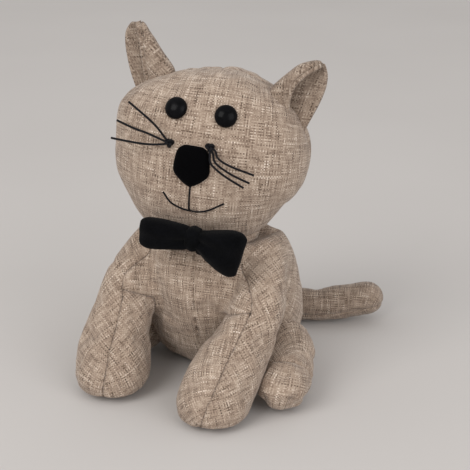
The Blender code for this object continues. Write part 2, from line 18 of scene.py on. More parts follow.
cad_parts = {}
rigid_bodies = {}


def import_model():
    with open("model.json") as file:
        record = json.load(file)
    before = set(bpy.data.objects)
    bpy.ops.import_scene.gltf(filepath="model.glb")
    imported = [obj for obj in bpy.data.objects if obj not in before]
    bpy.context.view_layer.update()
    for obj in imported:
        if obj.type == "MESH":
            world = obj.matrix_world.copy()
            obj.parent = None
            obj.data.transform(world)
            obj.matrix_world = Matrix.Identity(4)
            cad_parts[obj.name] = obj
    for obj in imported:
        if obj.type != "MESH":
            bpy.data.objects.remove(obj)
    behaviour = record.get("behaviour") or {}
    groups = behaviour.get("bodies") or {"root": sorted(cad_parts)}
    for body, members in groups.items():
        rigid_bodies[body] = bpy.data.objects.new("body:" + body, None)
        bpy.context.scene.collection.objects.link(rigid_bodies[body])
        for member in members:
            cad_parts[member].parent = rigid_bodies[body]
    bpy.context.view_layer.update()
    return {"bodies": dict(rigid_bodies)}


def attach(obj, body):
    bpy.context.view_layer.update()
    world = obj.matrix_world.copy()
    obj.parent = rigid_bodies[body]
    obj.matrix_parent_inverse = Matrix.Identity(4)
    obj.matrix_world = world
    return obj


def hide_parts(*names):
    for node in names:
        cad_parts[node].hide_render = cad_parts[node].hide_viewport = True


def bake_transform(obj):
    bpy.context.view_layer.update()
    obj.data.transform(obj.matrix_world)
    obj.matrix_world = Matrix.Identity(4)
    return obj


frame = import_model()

MM = 0.001
scene = bpy.context.scene
for name in ("Cube", "Light", "Camera"):
    if name in bpy.data.objects:
        bpy.data.objects.remove(bpy.data.objects[name])
print("bodies:", ", ".join(frame["bodies"]))

# %% [markdown]
# The camera stands a little above the cat's eyes and to its left, as someone does who looks at a toy on a
# table. It aims below the chin. A long lens keeps the paws from looking bigger than the head.

# %% Camera
AIM = Vector((22.2, -34.4, 110.25)) * MM
CAMERA_TURN, CAMERA_RISE, CAMERA_AWAY = math.radians(17), math.radians(21), 0.85
back = Vector((
    math.sin(CAMERA_TURN) * math.cos(CAMERA_RISE),
    -math.cos(CAMERA_TURN) * math.cos(CAMERA_RISE),
    math.sin(CAMERA_RISE),
))
camera = bpy.data.objects.new("camera", bpy.data.cameras.new("camera"))
camera.location = AIM + back * CAMERA_AWAY
camera.rotation_euler = back.to_track_quat("Z", "Y").to_euler()
camera.data.lens = 93.0
camera.data.sensor_width = 36.0
scene.collection.objects.link(camera)
scene.camera = camera
print("camera at", tuple(round(value, 3) for value in camera.location))

# %% [markdown]
# The same few helpers serve every piece: a curve that runs smoothly through a handful of points, rings
# bridged into a skin, and one place where a finished mesh becomes an object with its finish.

# %% Helpers
def smooth_through(points, count):
    """Points at even steps along a smooth curve through the given rows."""
    rows = np.array(points, float)
    padded = np.vstack([2 * rows[0] - rows[1], rows, 2 * rows[-1] - rows[-2]])
    made = []
    for step in np.linspace(0, len(rows) - 1, count):
        i = min(int(step), len(rows) - 2)
        t = step - i
        a, b, c, d = padded[i : i + 4]
        made.append(0.5 * (2 * b + (c - a) * t + (2 * a - 5 * b + 4 * c - d) * t**2
                           + (3 * b - a - 3 * c + d) * t**3))
    return np.array(made)


def add_ring(bm, middle, along, half_side, half_front, sides):
    """One elliptic ring square to its direction; its wide axis lies level."""
    forward = Vector(along).normalized()
    level = Vector((1, 0, 0)) if abs(forward.x) < 0.8 else Vector((0, 1, 0))
    front = forward.cross(level).normalized()
    level = front.cross(forward).normalized()
    made = bmesh.ops.create_circle(bm, segments=sides, radius=1.0)["verts"]
    turn = Matrix((level * half_side, front * half_front, forward)).transposed().to_4x4()
    bmesh.ops.transform(bm, matrix=Matrix.Translation(Vector(middle)) @ turn, verts=made)
    return list({edge for vert in made for edge in vert.link_edges})


def add_skin(bm, rows, alongs, sides):
    """A closed skin bridged over rings; a row is x, y, z, half width and half depth in millimetres."""
    loops = [add_ring(bm, row[:3], along, row[3], row[4], sides) for row, along in zip(rows, alongs)]
    for low, high in zip(loops, loops[1:]):
        bmesh.ops.bridge_loops(bm, edges=low + high)
    bmesh.ops.holes_fill(bm, edges=loops[0] + loops[-1], sides=sides + 1)


def make_piece(name, bm, finish):
    """A bmesh in metres becomes a smooth-shaded object at the origin."""
    mesh = bpy.data.meshes.new(name)
    bmesh.ops.recalc_face_normals(bm, faces=bm.faces)
    bm.to_mesh(mesh)
    bm.free()
    mesh.shade_smooth()
    mesh.materials.append(finish)
    obj = bpy.data.objects.new(name, mesh)
    scene.collection.objects.link(obj)
    return obj


def apply_modifiers(obj):
    """Puts what the modifiers make into the mesh and takes them off."""
    depsgraph = bpy.context.evaluated_depsgraph_get()
    made = bpy.data.meshes.new_from_object(obj.evaluated_get(depsgraph), depsgraph=depsgraph)
    obj.modifiers.clear()
    obj.data = made
    return obj


def smoothstep(low, high, value):
    t = np.clip((value - low) / (high - low), 0, 1)
    return t * t * (3 - 2 * t)


print("helpers ready")

# %% [markdown]
# The cloth is a plain weave of unevenly spun yarn: threads of many beiges, a few near cream and a few dark
# brown, with thicker slubs here and there. It never repeats, so the pattern is worked out
# from the cloth's own flat coordinates, in metres. Each thread is a band one pitch wide. Noise that is
# stretched along the thread gives it its own colour, which changes slowly as the yarn runs. Where warp and
# weft cross, the one on top alternates like a chessboard.

# %% Node helpers
THREAD_PITCH = 0.9 * MM


class Nodes:
    """Adds shader nodes and joins them up."""

    def __init__(self, name):
        self.material = bpy.data.materials.new(name)
        self.material.use_nodes = True
        self.tree = self.material.node_tree
        self.shader = self.tree.nodes["Principled BSDF"]

    def put(self, value, socket):
        if isinstance(value, bpy.types.NodeSocket):
            self.tree.links.new(value, socket)
        elif value is not None:
            socket.default_value = value

    def math(self, operation, a, b=None, c=None):
        node = self.tree.nodes.new("ShaderNodeMath")
        node.operation = operation
        for value, socket in zip((a, b, c), node.inputs):
            self.put(value, socket)
        return node.outputs[0]

    def join(self, x, y, z=0.0):
        node = self.tree.nodes.new("ShaderNodeCombineXYZ")
        for value, socket in zip((x, y, z), node.inputs):
            self.put(value, socket)
        return node.outputs[0]

    def parts(self, vector):
        node = self.tree.nodes.new("ShaderNodeSeparateXYZ")
        self.put(vector, node.inputs[0])
        return node.outputs

    def coordinates(self, kind):
        return self.tree.nodes.new("ShaderNodeTexCoord").outputs[kind]

    def noise(self, vector, scale, detail=2.0, roughness=0.5, kind="3D"):
        node = self.tree.nodes.new("ShaderNodeTexNoise")
        node.noise_dimensions = kind
        self.put(vector, node.inputs["Vector"])
        node.inputs["Scale"].default_value = scale
        node.inputs["Detail"].default_value = detail
        node.inputs["Roughness"].default_value = roughness
        return node.outputs["Fac"]

    def ramp(self, value, stops):
        node = self.tree.nodes.new("ShaderNodeValToRGB")
        self.put(value, node.inputs[0])
        elements = node.color_ramp.elements
        while len(elements) < len(stops):
            elements.new(0.5)
        for element, (place, colour) in zip(elements, stops):
            element.position = place
            element.color = (*colour, 1)
        return node.outputs[0]

    def mix(self, share, a, b, blend="MIX"):
        node = self.tree.nodes.new("ShaderNodeMix")
        node.data_type = "RGBA"
        node.blend_type = blend
        for value, socket in zip((share, a, b), (node.inputs[0], node.inputs[6], node.inputs[7])):
            self.put(value, socket)
        return node.outputs[2]

    def bump(self, height, distance, strength=1.0, normal=None):
        node = self.tree.nodes.new("ShaderNodeBump")
        node.inputs["Strength"].default_value = strength
        node.inputs["Distance"].default_value = distance
        self.put(height, node.inputs["Height"])
        self.put(normal, node.inputs["Normal"])
        return node.outputs[0]

    def finish(self, colour, roughness, normal=None, **constants):
        self.put(colour, self.shader.inputs["Base Color"])
        self.put(roughness, self.shader.inputs["Roughness"])
        self.put(normal, self.shader.inputs["Normal"])
        for name, value in constants.items():
            self.shader.inputs[name.replace("_", " ")].default_value = value
        return self.material


print("node helpers ready")

# %% Linen cloth
YARN_TONES = (
    (0.30, (0.062, 0.040, 0.027)),
    (0.385, (0.180, 0.124, 0.088)),
    (0.46, (0.315, 0.231, 0.174)),
    (0.545, (0.450, 0.348, 0.269)),
    (0.62, (0.590, 0.477, 0.382)),
    (0.71, (0.860, 0.749, 0.645)),
)


def linen_cloth(name, seed=0.0, tone=1.0):
    """The melange weave on a piece's own flat coordinates."""
    n = Nodes(name)
    u, v, _ = n.parts(n.coordinates("UV"))
    across = n.math("ADD", n.math("DIVIDE", u, THREAD_PITCH), 500.0 + seed)
    along = n.math("ADD", n.math("DIVIDE", v, THREAD_PITCH), 500.0 + seed)
    warp_number, weft_number = n.math("FLOOR", across), n.math("FLOOR", along)

    def yarn(number, run, offset):
        """The yarn's tone: its own base, drift along its run, and short slubs."""
        slow = n.join(n.math("MULTIPLY", number, 7.31), n.math("MULTIPLY", run, 0.05), offset)
        quick = n.join(n.math("MULTIPLY", number, 3.77), n.math("MULTIPLY", run, 0.16), offset + 9)
        own, slub = n.noise(slow, 1.0, 1.0), n.noise(quick, 1.0, 2.0)
        return n.math("ADD", n.math("MULTIPLY", own, 0.62), n.math("MULTIPLY", slub, 0.38))

    warp, weft = yarn(warp_number, along, 2.0), yarn(weft_number, across, 31.0)
    odd = n.math("PINGPONG", n.math("ADD", warp_number, weft_number), 1.0)
    warp_arch = n.math("ABSOLUTE", n.math("SINE", n.math("MULTIPLY", across, math.pi)))
    weft_arch = n.math("ABSOLUTE", n.math("SINE", n.math("MULTIPLY", along, math.pi)))

    def on_top(of_warp, of_weft):
        """The warp's value where the warp is on top, and the weft's elsewhere."""
        even = n.math("SUBTRACT", 1.0, odd)
        return n.math("ADD", n.math("MULTIPLY", of_warp, odd), n.math("MULTIPLY", of_weft, even))

    tone_value = on_top(warp, weft)
    blotch = n.noise(n.join(u, v, seed), 90.0, 3.0, 0.6)
    grain = n.noise(n.join(u, v, seed + 4), 1500.0, 2.0, 0.6)
    shifted = n.math("ADD", tone_value, n.math("MULTIPLY", n.math("SUBTRACT", blotch, 0.5), 0.10))
    shifted = n.math("ADD", shifted, n.math("MULTIPLY", n.math("SUBTRACT", grain, 0.5), 0.10))
    # tone scales every yarn colour; below 1 it is painted shade, a darker copy of the one cloth
    colour = n.ramp(shifted, [(place, tuple(c * tone for c in value)) for place, value in YARN_TONES])
    height = on_top(warp_arch, weft_arch)
    gap = n.math("POWER", height, 0.5)
    shade = n.math("ADD", 0.74, n.math("MULTIPLY", gap, 0.26))
    colour = n.mix(1.0, colour, n.join(shade, shade, shade), "MULTIPLY")
    height = n.math("ADD", height, n.math("MULTIPLY", shifted, 1.2))
    normal = n.bump(height, 0.16 * MM, 0.8)
    return n.finish(colour, 0.93, normal, Sheen_Weight=0.18, Sheen_Roughness=0.55, Specular_IOR_Level=0.25)


linen = linen_cloth("linen_cloth")
# The ears and the tail get a darker copy of the same cloth. This is painted shade, since the whole cat is one
# fabric.
linen_painted_shade = linen_cloth("linen_painted_shade", seed=40.0, tone=0.80)
print("linen:", len(linen.node_tree.nodes), "nodes")

# %% [markdown]
# The black parts are three different blacks. The cord and the sewn mouth are waxed cotton with a faint
# shine, the nose is velvet that only shines at its edge, and the bow tie is plain matte cotton.

# %% Black finishes
def black_cord():
    n = Nodes("black_cord")
    place = n.coordinates("Object")
    fibres = n.noise(place, 2600.0, 2.0)
    lumps = n.noise(place, 420.0, 1.0)
    colour = n.ramp(fibres, [(0.3, (0.0015, 0.0015, 0.002)), (0.75, (0.009, 0.009, 0.012))])
    normal = n.bump(n.math("ADD", fibres, lumps), 0.12 * MM, 0.7)
    roughness = n.math("ADD", 0.45, n.math("MULTIPLY", lumps, 0.25))
    return n.finish(colour, roughness, normal, Specular_IOR_Level=0.14)


def nose_velvet():
    n = Nodes("nose_velvet")
    place = n.coordinates("Object")
    pile = n.noise(place, 3200.0, 2.0)
    brushed = n.noise(place, 160.0, 2.0)
    colour = n.ramp(pile, [(0.3, (0.0006, 0.0006, 0.0008)), (0.8, (0.0032, 0.0030, 0.0036))])
    normal = n.bump(n.math("ADD", pile, n.math("MULTIPLY", brushed, 0.6)), 0.35 * MM, 0.9)
    return n.finish(colour, 1.0, normal, Sheen_Weight=0.04, Sheen_Roughness=0.35, Specular_IOR_Level=0.03)


def bow_cotton():
    n = Nodes("bow_cotton")
    u, v, _ = n.parts(n.coordinates("UV"))
    pitch = 0.42 * MM
    arch_u = n.math("SINE", n.math("MULTIPLY", u, math.tau / pitch))
    arch_v = n.math("SINE", n.math("MULTIPLY", v, math.tau / pitch))
    weave = n.math("MULTIPLY", arch_u, arch_v)
    fuzz = n.noise(n.coordinates("Object"), 900.0, 3.0, 0.6)
    worn = n.noise(n.coordinates("Object"), 120.0, 2.0)
    colour = n.ramp(n.math("ADD", n.math("MULTIPLY", fuzz, 0.6), n.math("MULTIPLY", worn, 0.4)),
                    [(0.35, (0.0006, 0.0007, 0.0010)), (0.70, (0.0034, 0.0036, 0.0048))])
    height = n.math("ADD", n.math("MULTIPLY", weave, 0.4), fuzz)
    normal = n.bump(height, 0.10 * MM, 0.8)
    return n.finish(colour, 0.88, normal, Sheen_Weight=0.03, Sheen_Roughness=0.5, Specular_IOR_Level=0.05)


def eye_plastic():
    n = Nodes("eye_plastic")
    place = n.coordinates("Object")
    haze = n.noise(place, 240.0, 3.0)
    scratches = n.noise(place, 2400.0, 1.0)
    colour = n.ramp(haze, [(0.3, (0.0015, 0.0016, 0.0020)), (0.8, (0.0045, 0.0045, 0.0055))])
    normal = n.bump(scratches, 0.02 * MM, 0.35)
    roughness = n.math("ADD", 0.12, n.math("MULTIPLY", haze, 0.22))
    return n.finish(colour, roughness, normal, Specular_IOR_Level=0.07)


cord_black, velvet, cotton, plastic = black_cord(), nose_velvet(), bow_cotton(), eye_plastic()
print("four black finishes")

# %% [markdown]
# A cloth panel lies flat before it is sewn, so its weave belongs to the flat shape. Unwrapping a finished
# panel gives that shape back. This helper unwraps along the seams marked before it, scales every piece to
# real metres and turns it so that the thread runs where the pattern maker wanted it.

# %% Flat coordinates from the sewn shape
def face_rows(mesh):
    """(corner positions, corner flat coordinates) of each triangle, and the polygon it is from."""
    mesh.calc_loop_triangles()
    count = len(mesh.loop_triangles)
    corners, loops, owners = np.zeros(count * 3, int), np.zeros(count * 3, int), np.zeros(count, int)
    mesh.loop_triangles.foreach_get("vertices", corners)
    mesh.loop_triangles.foreach_get("loops", loops)
    mesh.loop_triangles.foreach_get("polygon_index", owners)
    places = np.zeros(len(mesh.vertices) * 3)
    mesh.vertices.foreach_get("co", places)
    flat = np.zeros(len(mesh.loops) * 2)
    mesh.uv_layers.active.data.foreach_get("uv", flat)
    return places.reshape(-1, 3)[corners.reshape(-1, 3)], flat.reshape(-1, 2)[loops.reshape(-1, 3)], owners


def lay_flat(obj, panel_of, grains):
    """Unwraps along marked seams; grains gives each panel's 3-D thread direction and its turn in degrees."""
    bpy.context.view_layer.objects.active = obj
    for other in bpy.context.selected_objects:
        other.select_set(False)
    obj.select_set(True)
    if not obj.data.uv_layers:
        obj.data.uv_layers.new(name="cloth")
    bpy.ops.object.mode_set(mode="EDIT")
    bpy.ops.mesh.select_all(action="SELECT")
    bpy.ops.uv.unwrap(method="MINIMUM_STRETCH", iterations=8, margin=0.0)
    bpy.ops.object.mode_set(mode="OBJECT")
    mesh = obj.data
    places, flat, owners = face_rows(mesh)
    loop_flat = np.zeros(len(mesh.loops) * 2)
    mesh.uv_layers.active.data.foreach_get("uv", loop_flat)
    loop_flat = loop_flat.reshape(-1, 2)
    loop_panel = np.zeros(len(mesh.loops), int)
    for polygon in mesh.polygons:
        loop_panel[polygon.loop_start : polygon.loop_start + polygon.loop_total] = panel_of[polygon.index]
    for panel, (direction, turn) in grains.items():
        mine = panel_of[owners] == panel
        if not mine.any():
            continue
        p, q = places[mine], flat[mine]
        side_a, side_b = p[:, 1] - p[:, 0], p[:, 2] - p[:, 0]
        flat_a, flat_b = q[:, 1] - q[:, 0], q[:, 2] - q[:, 0]
        area = np.linalg.norm(np.cross(side_a, side_b), axis=1).sum()
        twice = flat_a[:, 0] * flat_b[:, 1] - flat_a[:, 1] * flat_b[:, 0]
        size = math.sqrt(area / max(np.abs(twice).sum(), 1e-12))
        want = np.array(direction, float)
        along_a, along_b = side_a @ want, side_b @ want
        slope = np.stack([along_a * flat_b[:, 1] - along_b * flat_a[:, 1],
                          along_b * flat_a[:, 0] - along_a * flat_b[:, 0]], axis=1) * np.sign(twice)[:, None]
        slope = slope.sum(axis=0)
        angle = math.pi / 2 - math.atan2(slope[1], slope[0]) + math.radians(turn)
        spin = np.array([[math.cos(angle), math.sin(angle)], [-math.sin(angle), math.cos(angle)]])
        chosen = loop_panel == panel
        middle = loop_flat[chosen].mean(axis=0)
        loop_flat[chosen] = (loop_flat[chosen] - middle) @ spin * size + np.array((0.37, 0.11)) * panel
    mesh.uv_layers.active.data.foreach_set("uv", loop_flat.astype(np.float32).ravel())


print("flat coordinates ready")

# %% [markdown]
# Filling is what gives a toy its shape. Blender's cloth simulation does it: the skin is remeshed to an even
# net, the sewn lines are held where they are, air pressure pushes the cloth out between them, and a little
# spare cloth makes it pucker beside each seam. How far any point may move is capped, and afterwards the net
# is made finer.

# %% Filling with pressure
FILL_FRAMES = 20


def net_of(name, bm, size):
    """One even net of quads over all the closed shapes in a bmesh in metres."""
    obj = make_piece(name, bm, linen)
    remesh = obj.modifiers.new("net", "REMESH")
    remesh.mode = "VOXEL"
    remesh.voxel_size = size * MM
    return apply_modifiers(obj)


def positions(obj):
    made = np.zeros(len(obj.data.vertices) * 3)
    obj.data.vertices.foreach_get("co", made)
    return made.reshape(-1, 3)


def move_to(obj, places):
    obj.data.vertices.foreach_set("co", places.astype(np.float32).ravel())
    obj.data.update()


def fill_with_pressure(obj, held, cap, spare=0.05, pressure=4.0):
    """Swells a skin between its held points, in place."""
    before = positions(obj)
    group = obj.vertex_groups.new(name="sewn")
    for weight in (1.0, 0.5):
        chosen = np.flatnonzero(held == weight).tolist()
        group.add(chosen, weight, "REPLACE")
    cloth = obj.modifiers.new("filling", "CLOTH")
    cloth.settings.quality = 6
    cloth.settings.mass = 0.25
    cloth.settings.tension_stiffness = cloth.settings.compression_stiffness = 12
    cloth.settings.shear_stiffness = 4
    cloth.settings.bending_stiffness = 0.6
    cloth.settings.use_pressure = True
    cloth.settings.uniform_pressure_force = pressure
    cloth.settings.shrink_min = -spare
    cloth.settings.effector_weights.gravity = 0
    cloth.settings.vertex_group_mass = "sewn"
    cloth.settings.pin_stiffness = 2.0
    cloth.collision_settings.use_collision = False
    cloth.point_cache.frame_start, cloth.point_cache.frame_end = 1, FILL_FRAMES
    for step in range(1, FILL_FRAMES + 1):
        scene.frame_set(step)
    apply_modifiers(obj)
    scene.frame_set(1)
    after = positions(obj)
    moved = after - before
    length = np.linalg.norm(moved, axis=1, keepdims=True)
    after = before + moved * np.minimum(1, cap * MM / np.maximum(length, 1e-9))
    move_to(obj, after)
    obj.vertex_groups.clear()
    print(f"{obj.name}: swelled by {np.linalg.norm(after - before, axis=1).mean() / MM:.1f} mm on average")
    return obj


def subdivide(obj, levels=1):
    finer = obj.modifiers.new("finer", "SUBSURF")
    finer.levels = finer.render_levels = levels
    finer.uv_smooth = "PRESERVE_BOUNDARIES"
    return apply_modifiers(obj)


print("filling ready")

# %% [markdown]
# A seam is where a function over space is nought: a plane, or a blend of planes where the seam turns. The
# net is cut exactly along that line, so that the two pieces of cloth meet on a clean edge. Then the cloth
# beside it sinks in, with small puckers square to the stitches.

# %% Cutting a net along a seam
def slope_of(rule, places, step=0.05 * MM):
    """The rate at which a rule changes, in each direction, by small differences."""
    columns = []
    for axis in range(3):
        shift = np.zeros(3)
        shift[axis] = step
        columns.append((rule(places + shift) - rule(places - shift)) / (2 * step))
    return np.stack(columns, axis=1)


def cut_seam(bm, rule, where=None, snap=0.3 * MM):
    """Cuts a bmesh along the line where rule is nought, within the part of it where where() holds."""
    places = np.array([vert.co for vert in bm.verts])
    values = rule(places)
    slopes = slope_of(rule, places)
    size = np.maximum((slopes**2).sum(axis=1), 1e-9)
    allowed = np.ones(len(places), bool) if where is None else where(places)
    near = (np.abs(values) / np.sqrt(size) < snap) & allowed
    for i in np.flatnonzero(near):
        bm.verts[i].co = places[i] - slopes[i] * values[i] / size[i]
        values[i] = 0.0
    fresh = set()
    for i in np.flatnonzero(near):
        fresh.add(bm.verts[i])
    for edge in list(bm.edges):
        a, b = edge.verts
        va, vb = values[a.index], values[b.index]
        if va * vb < 0 and allowed[a.index] and allowed[b.index]:
            _, made = bmesh.utils.edge_split(edge, a, va / (va - vb))
            fresh.add(made)
    for face in list(bm.faces):
        mine = [vert for vert in face.verts if vert in fresh]
        if len(mine) >= 2 and len(face.verts) > 3:
            a, b = mine[0], mine[-1]
            if len(mine) == 2 and not any(b in edge.verts for edge in a.link_edges if edge in face.edges):
                bmesh.utils.face_split(face, a, b)
    for edge in bm.edges:
        if edge.verts[0] in fresh and edge.verts[1] in fresh:
            edge.seam = True
    bm.verts.index_update()
    bm.verts.ensure_lookup_table()
    bm.edges.ensure_lookup_table()
    bm.faces.ensure_lookup_table()


SEAM_DEPTH, SEAM_REACH = 1.7, 2.4  # how deep a seam sinks, and how far from it, in millimetres
PUCKER, PUCKER_REACH, PUCKER_STEP = 0.55, 7.0, 6.5


def groove(places, normals, seams, depth=SEAM_DEPTH):
    """Sinks the cloth along each (distance, foot of the seam) pair; returns the new positions."""
    sink = np.zeros(len(places))
    for distance, foot, strength in seams:
        away = np.abs(distance) / MM
        close = away < 5 * PUCKER_REACH
        ripple = np.zeros(len(places))
        ripple[close] = [noise.noise(Vector(point) / (PUCKER_STEP * MM)) for point in foot[close]]
        dip = depth * (0.55 * np.exp(-away / 0.8) + 0.75 * np.exp(-away / SEAM_REACH)) * (1 + 0.4 * ripple)
        sink += strength * (dip - PUCKER * ripple * np.exp(-away / PUCKER_REACH) * (1 - np.exp(-away / 1.5)))
    return places - normals * sink[:, None] * MM


def normals_of(obj):
    made = np.zeros(len(obj.data.vertices) * 3)
    obj.data.vertices.foreach_get("normal", made)
    return made.reshape(-1, 3)


def crumple(places, normals, amount, step, seed):
    """Low folds all over, as cloth has after it is handled."""
    shift = Vector((seed, seed * 1.7, seed * 0.3))
    bump = np.array([noise.fractal(Vector(point) / (step * MM) + shift, 1.0, 2.0, 3) for point in places])
    return places + normals * bump[:, None] * amount * MM


def separate(obj, panel_of, names, thickness=0.9):
    """Makes each panel its own piece of cloth, with a thickness on its inner side."""
    made = {}
    for panel, name in names.items():
        bm = bmesh.new()
        bm.from_mesh(obj.data)
        bm.faces.ensure_lookup_table()
        doomed = [face for face in bm.faces if panel_of[face.index] != panel]
        bmesh.ops.delete(bm, geom=doomed, context="FACES")
        mesh = bpy.data.meshes.new(name)
        bm.to_mesh(mesh)
        bm.free()
        mesh.shade_smooth()
        piece = bpy.data.objects.new(name, mesh)
        scene.collection.objects.link(piece)
        if not mesh.materials:
            mesh.materials.append(linen)
        wall = piece.modifiers.new("cloth", "SOLIDIFY")
        wall.thickness = thickness * MM
        wall.offset = -1
        apply_modifiers(piece)
        made[name] = piece
    bpy.data.objects.remove(obj)
    print(", ".join(f"{name} {len(piece.data.polygons)}" for name, piece in made.items()))
    return made


print("seams ready")

# %% [markdown]
# The body and the two front legs are one skin on a real cat like this, because the cloth of the cat's side
# runs on down the outside of its leg. So they are bridged from rings, given one net together, and filled.
# The seams are then: one down each side of the chest and on along the front and back of the leg, one where
# the inside of the leg meets the chest, one down the middle of the back, and one round each flat base.

# %% Rings of the body and legs
TORSO_RINGS = (
    (0, 10, 41, 33), (7, 9, 52, 43), (25, 5, 60, 50), (45, 0, 62, 53), (65, -7, 61, 52),
    (85, -13, 58, 47), (100, -18, 54, 42), (109, -20, 44, 35), (106, -20, 32, 27), (102, -20, 23, 23),
)
LEG_RINGS = {
    "left": (((40, -24, 92), 16, 17), ((46, -50, 72), 20, 20), ((39, -72, 47), 22, 21),
             ((30.5, -91.5, 25), 26, 25.5), ((27, -100, 10), 26.5, 27.5), ((26, -101, 0.4), 22, 23)),
    "right": (((-40, -22, 95), 17, 18), ((-52, -42, 72), 20, 20), ((-55, -60, 47), 23, 22),
              ((-55.5, -75, 25), 27.5, 25.5), ((-54.5, -81.5, 10), 27.5, 27), ((-53.5, -82.5, 0.4), 20, 21)),
}
CHEST_SEAM = {
    "left": ((31, -52, 104), (38, -62, 80), (33, -14, 0)),
    "right": ((-30, -44, 108), (-49, -50, 78), (-36, -14, 0)),
}
LEG_SEAM_TWIST = {"left": -25, "right": -10}
INNER_LEG_TOP = {"left": 58, "right": 62}
BASE_HEIGHT, SOLE_HEIGHT = 2.0, 3.2
START_SMALLER = 1.6

torso_rows = smooth_through([(0, y, z, side, front) for z, y, side, front in TORSO_RINGS], 30)
leg_rows = {
    side: smooth_through([(*point, wide, deep) for point, wide, deep in rings], 20)
    for side, rings in LEG_RINGS.items()
}


def leg_directions(rows):
    """The last rings turn level, so that the paw stands flat."""
    along = np.gradient(rows[:, :3], axis=0)
    down = np.array((0, 0, -1.0))
    for i, share in enumerate(np.linspace(0.25, 1, 5)):
        row = len(rows) - 5 + i
        along[row] += (down * np.linalg.norm(along[row]) - along[row]) * share
    return along


def shrink(bm, distance):
    bm.normal_update()
    moves = [(vert, vert.normal.copy()) for vert in bm.verts]
    for vert, normal in moves:
        vert.co -= normal * distance


bm = bmesh.new()
add_skin(bm, torso_rows, [(0, 0, 1)] * len(torso_rows), 48)
for rows in leg_rows.values():
    add_skin(bm, rows, leg_directions(rows), 28)
bmesh.ops.recalc_face_normals(bm, faces=bm.faces)
shrink(bm, START_SMALLER)
bmesh.ops.scale(bm, vec=(MM, MM, MM), verts=bm.verts)
body = net_of("body_skin", bm, 3.6)
print("body net:", len(body.data.polygons), "quads")

# %% Where the body's seams run
def chest_plane(side):
    """A point and the outward direction of the plane that a chest seam lies in."""
    a, b, c = (np.array(point, float) for point in CHEST_SEAM[side])
    normal = np.cross(a - b, c - b)
    return b, normal * math.copysign(1, normal[0] * b[0]) / np.linalg.norm(normal)


chest_planes = {side: chest_plane(side) for side in CHEST_SEAM}
outside_rows = torso_rows[: int(np.argmax(torso_rows[:, 2])) + 1]


def leg_plane(side):
    """A point and the outward direction of the seam plane through a leg."""
    sign = 1 if side == "left" else -1
    top, bottom = (np.array(LEG_RINGS[side][i][0], float) for i in (1, -2))
    normal = np.cross(bottom - top, (0, 0, 1.0))
    normal *= sign * math.copysign(1, normal[0]) / np.linalg.norm(normal)
    turn = Matrix.Rotation(math.radians(LEG_SEAM_TWIST[side]), 3, Vector(bottom - top))
    return bottom, np.array(turn @ Vector(normal))


leg_planes = {side: leg_plane(side) for side in LEG_RINGS}


def off_torso(p):
    """Roughly how far points, in millimetres, are outside the torso."""
    rings = [np.interp(p[:, 2], outside_rows[:, 2], outside_rows[:, i]) for i in (1, 3, 4)]
    middle, wide, deep = rings
    return (np.sqrt((p[:, 0] / wide) ** 2 + ((p[:, 1] - middle) / deep) ** 2) - 1) * np.minimum(wide, deep)


def off_leg(p, side):
    rows = leg_rows[side]
    radius = (rows[:, 3] + rows[:, 4]) / 2
    best = np.full(len(p), 1e9)
    for row, r in zip(rows, radius):
        best = np.minimum(best, np.linalg.norm(p - row[:3], axis=1) - r)
    return best


def leg_side(places):
    """Above nought on the legs, below nought on the torso, nought in the crease between them."""
    p = places / MM
    torso = off_torso(p)
    return (torso - np.minimum(off_leg(p, "left"), off_leg(p, "right"))) * MM


def inner_seam(places):
    """Like leg_side, but over the top of the inner leg it climbs outwards to meet the front seam."""
    top = np.where(places[:, 0] > 0, INNER_LEG_TOP["left"], INNER_LEG_TOP["right"])
    return leg_side(places) - 2 * np.maximum(0, places[:, 2] - top * MM)


def front_seam(places):
    """Above nought on the side pieces, below nought on the chest and the inner legs."""
    p = places / MM
    made = np.zeros(len(p))
    share = smoothstep(-12, 2, leg_side(places) / MM) * (1 - smoothstep(66, 92, p[:, 2]))
    for side, sign in (("left", 1), ("right", -1)):
        chest, leg = ((p - point) @ normal for point, normal in (chest_planes[side], leg_planes[side]))
        mine = p[:, 0] * sign > 0
        made[mine] = ((1 - share) * chest + share * leg)[mine]
    return made * MM


def back_seam(places):
    return places[:, 0]


def base_seam(places):
    return places[:, 2] - BASE_HEIGHT * MM


def sole_seam(places):
    return places[:, 2] - SOLE_HEIGHT * MM


TINY = 0.02 * MM
body_seams = (
    (front_seam, lambda p: p[:, 2] > SOLE_HEIGHT * MM - TINY),
    (inner_seam, lambda p: front_seam(p) < TINY),
    (back_seam, lambda p: (front_seam(p) > -TINY) & (p[:, 2] > BASE_HEIGHT * MM - TINY)),
    (base_seam, lambda p: leg_side(p) < TINY),
    (sole_seam, lambda p: leg_side(p) > -TINY),
)


def seam_distances(places, seams):
    """For each seam: how far each point is from it, the nearest point on it, and its strength."""
    made = []
    for rule, where in seams:
        value = rule(places)
        slope = slope_of(rule, places)
        size = np.maximum((slope**2).sum(axis=1), 1e-9)
        distance = np.abs(value) / np.sqrt(size)
        foot = places - slope * (value / size)[:, None]
        made.append((distance, foot, where(foot).astype(float)))
    return made


def held_near(places, seams, reach):
    held = np.zeros(len(places))
    for distance, _, strength in seam_distances(places, seams):
        held[(distance < reach * MM) & (strength > 0)] = 1.0
    return held


def neighbours_of(obj):
    """The two ends of every edge of a mesh, and how many neighbours each point has."""
    ends = np.zeros(len(obj.data.edges) * 2, int)
    obj.data.edges.foreach_get("vertices", ends)
    ends = ends.reshape(-1, 2)
    return ends, np.bincount(ends.ravel(), minlength=len(obj.data.vertices))


def soften(obj, weight, rounds):
    """Relaxes a net towards its neighbours' middle, as much as weight says at each point."""
    ends, count = neighbours_of(obj)
    places = positions(obj)
    for _ in range(rounds):
        total = np.zeros_like(places)
        np.add.at(total, ends[:, 0], places[ends[:, 1]])
        np.add.at(total, ends[:, 1], places[ends[:, 0]])
        places += (total / count[:, None] - places) * weight[:, None]
    move_to(obj, places)


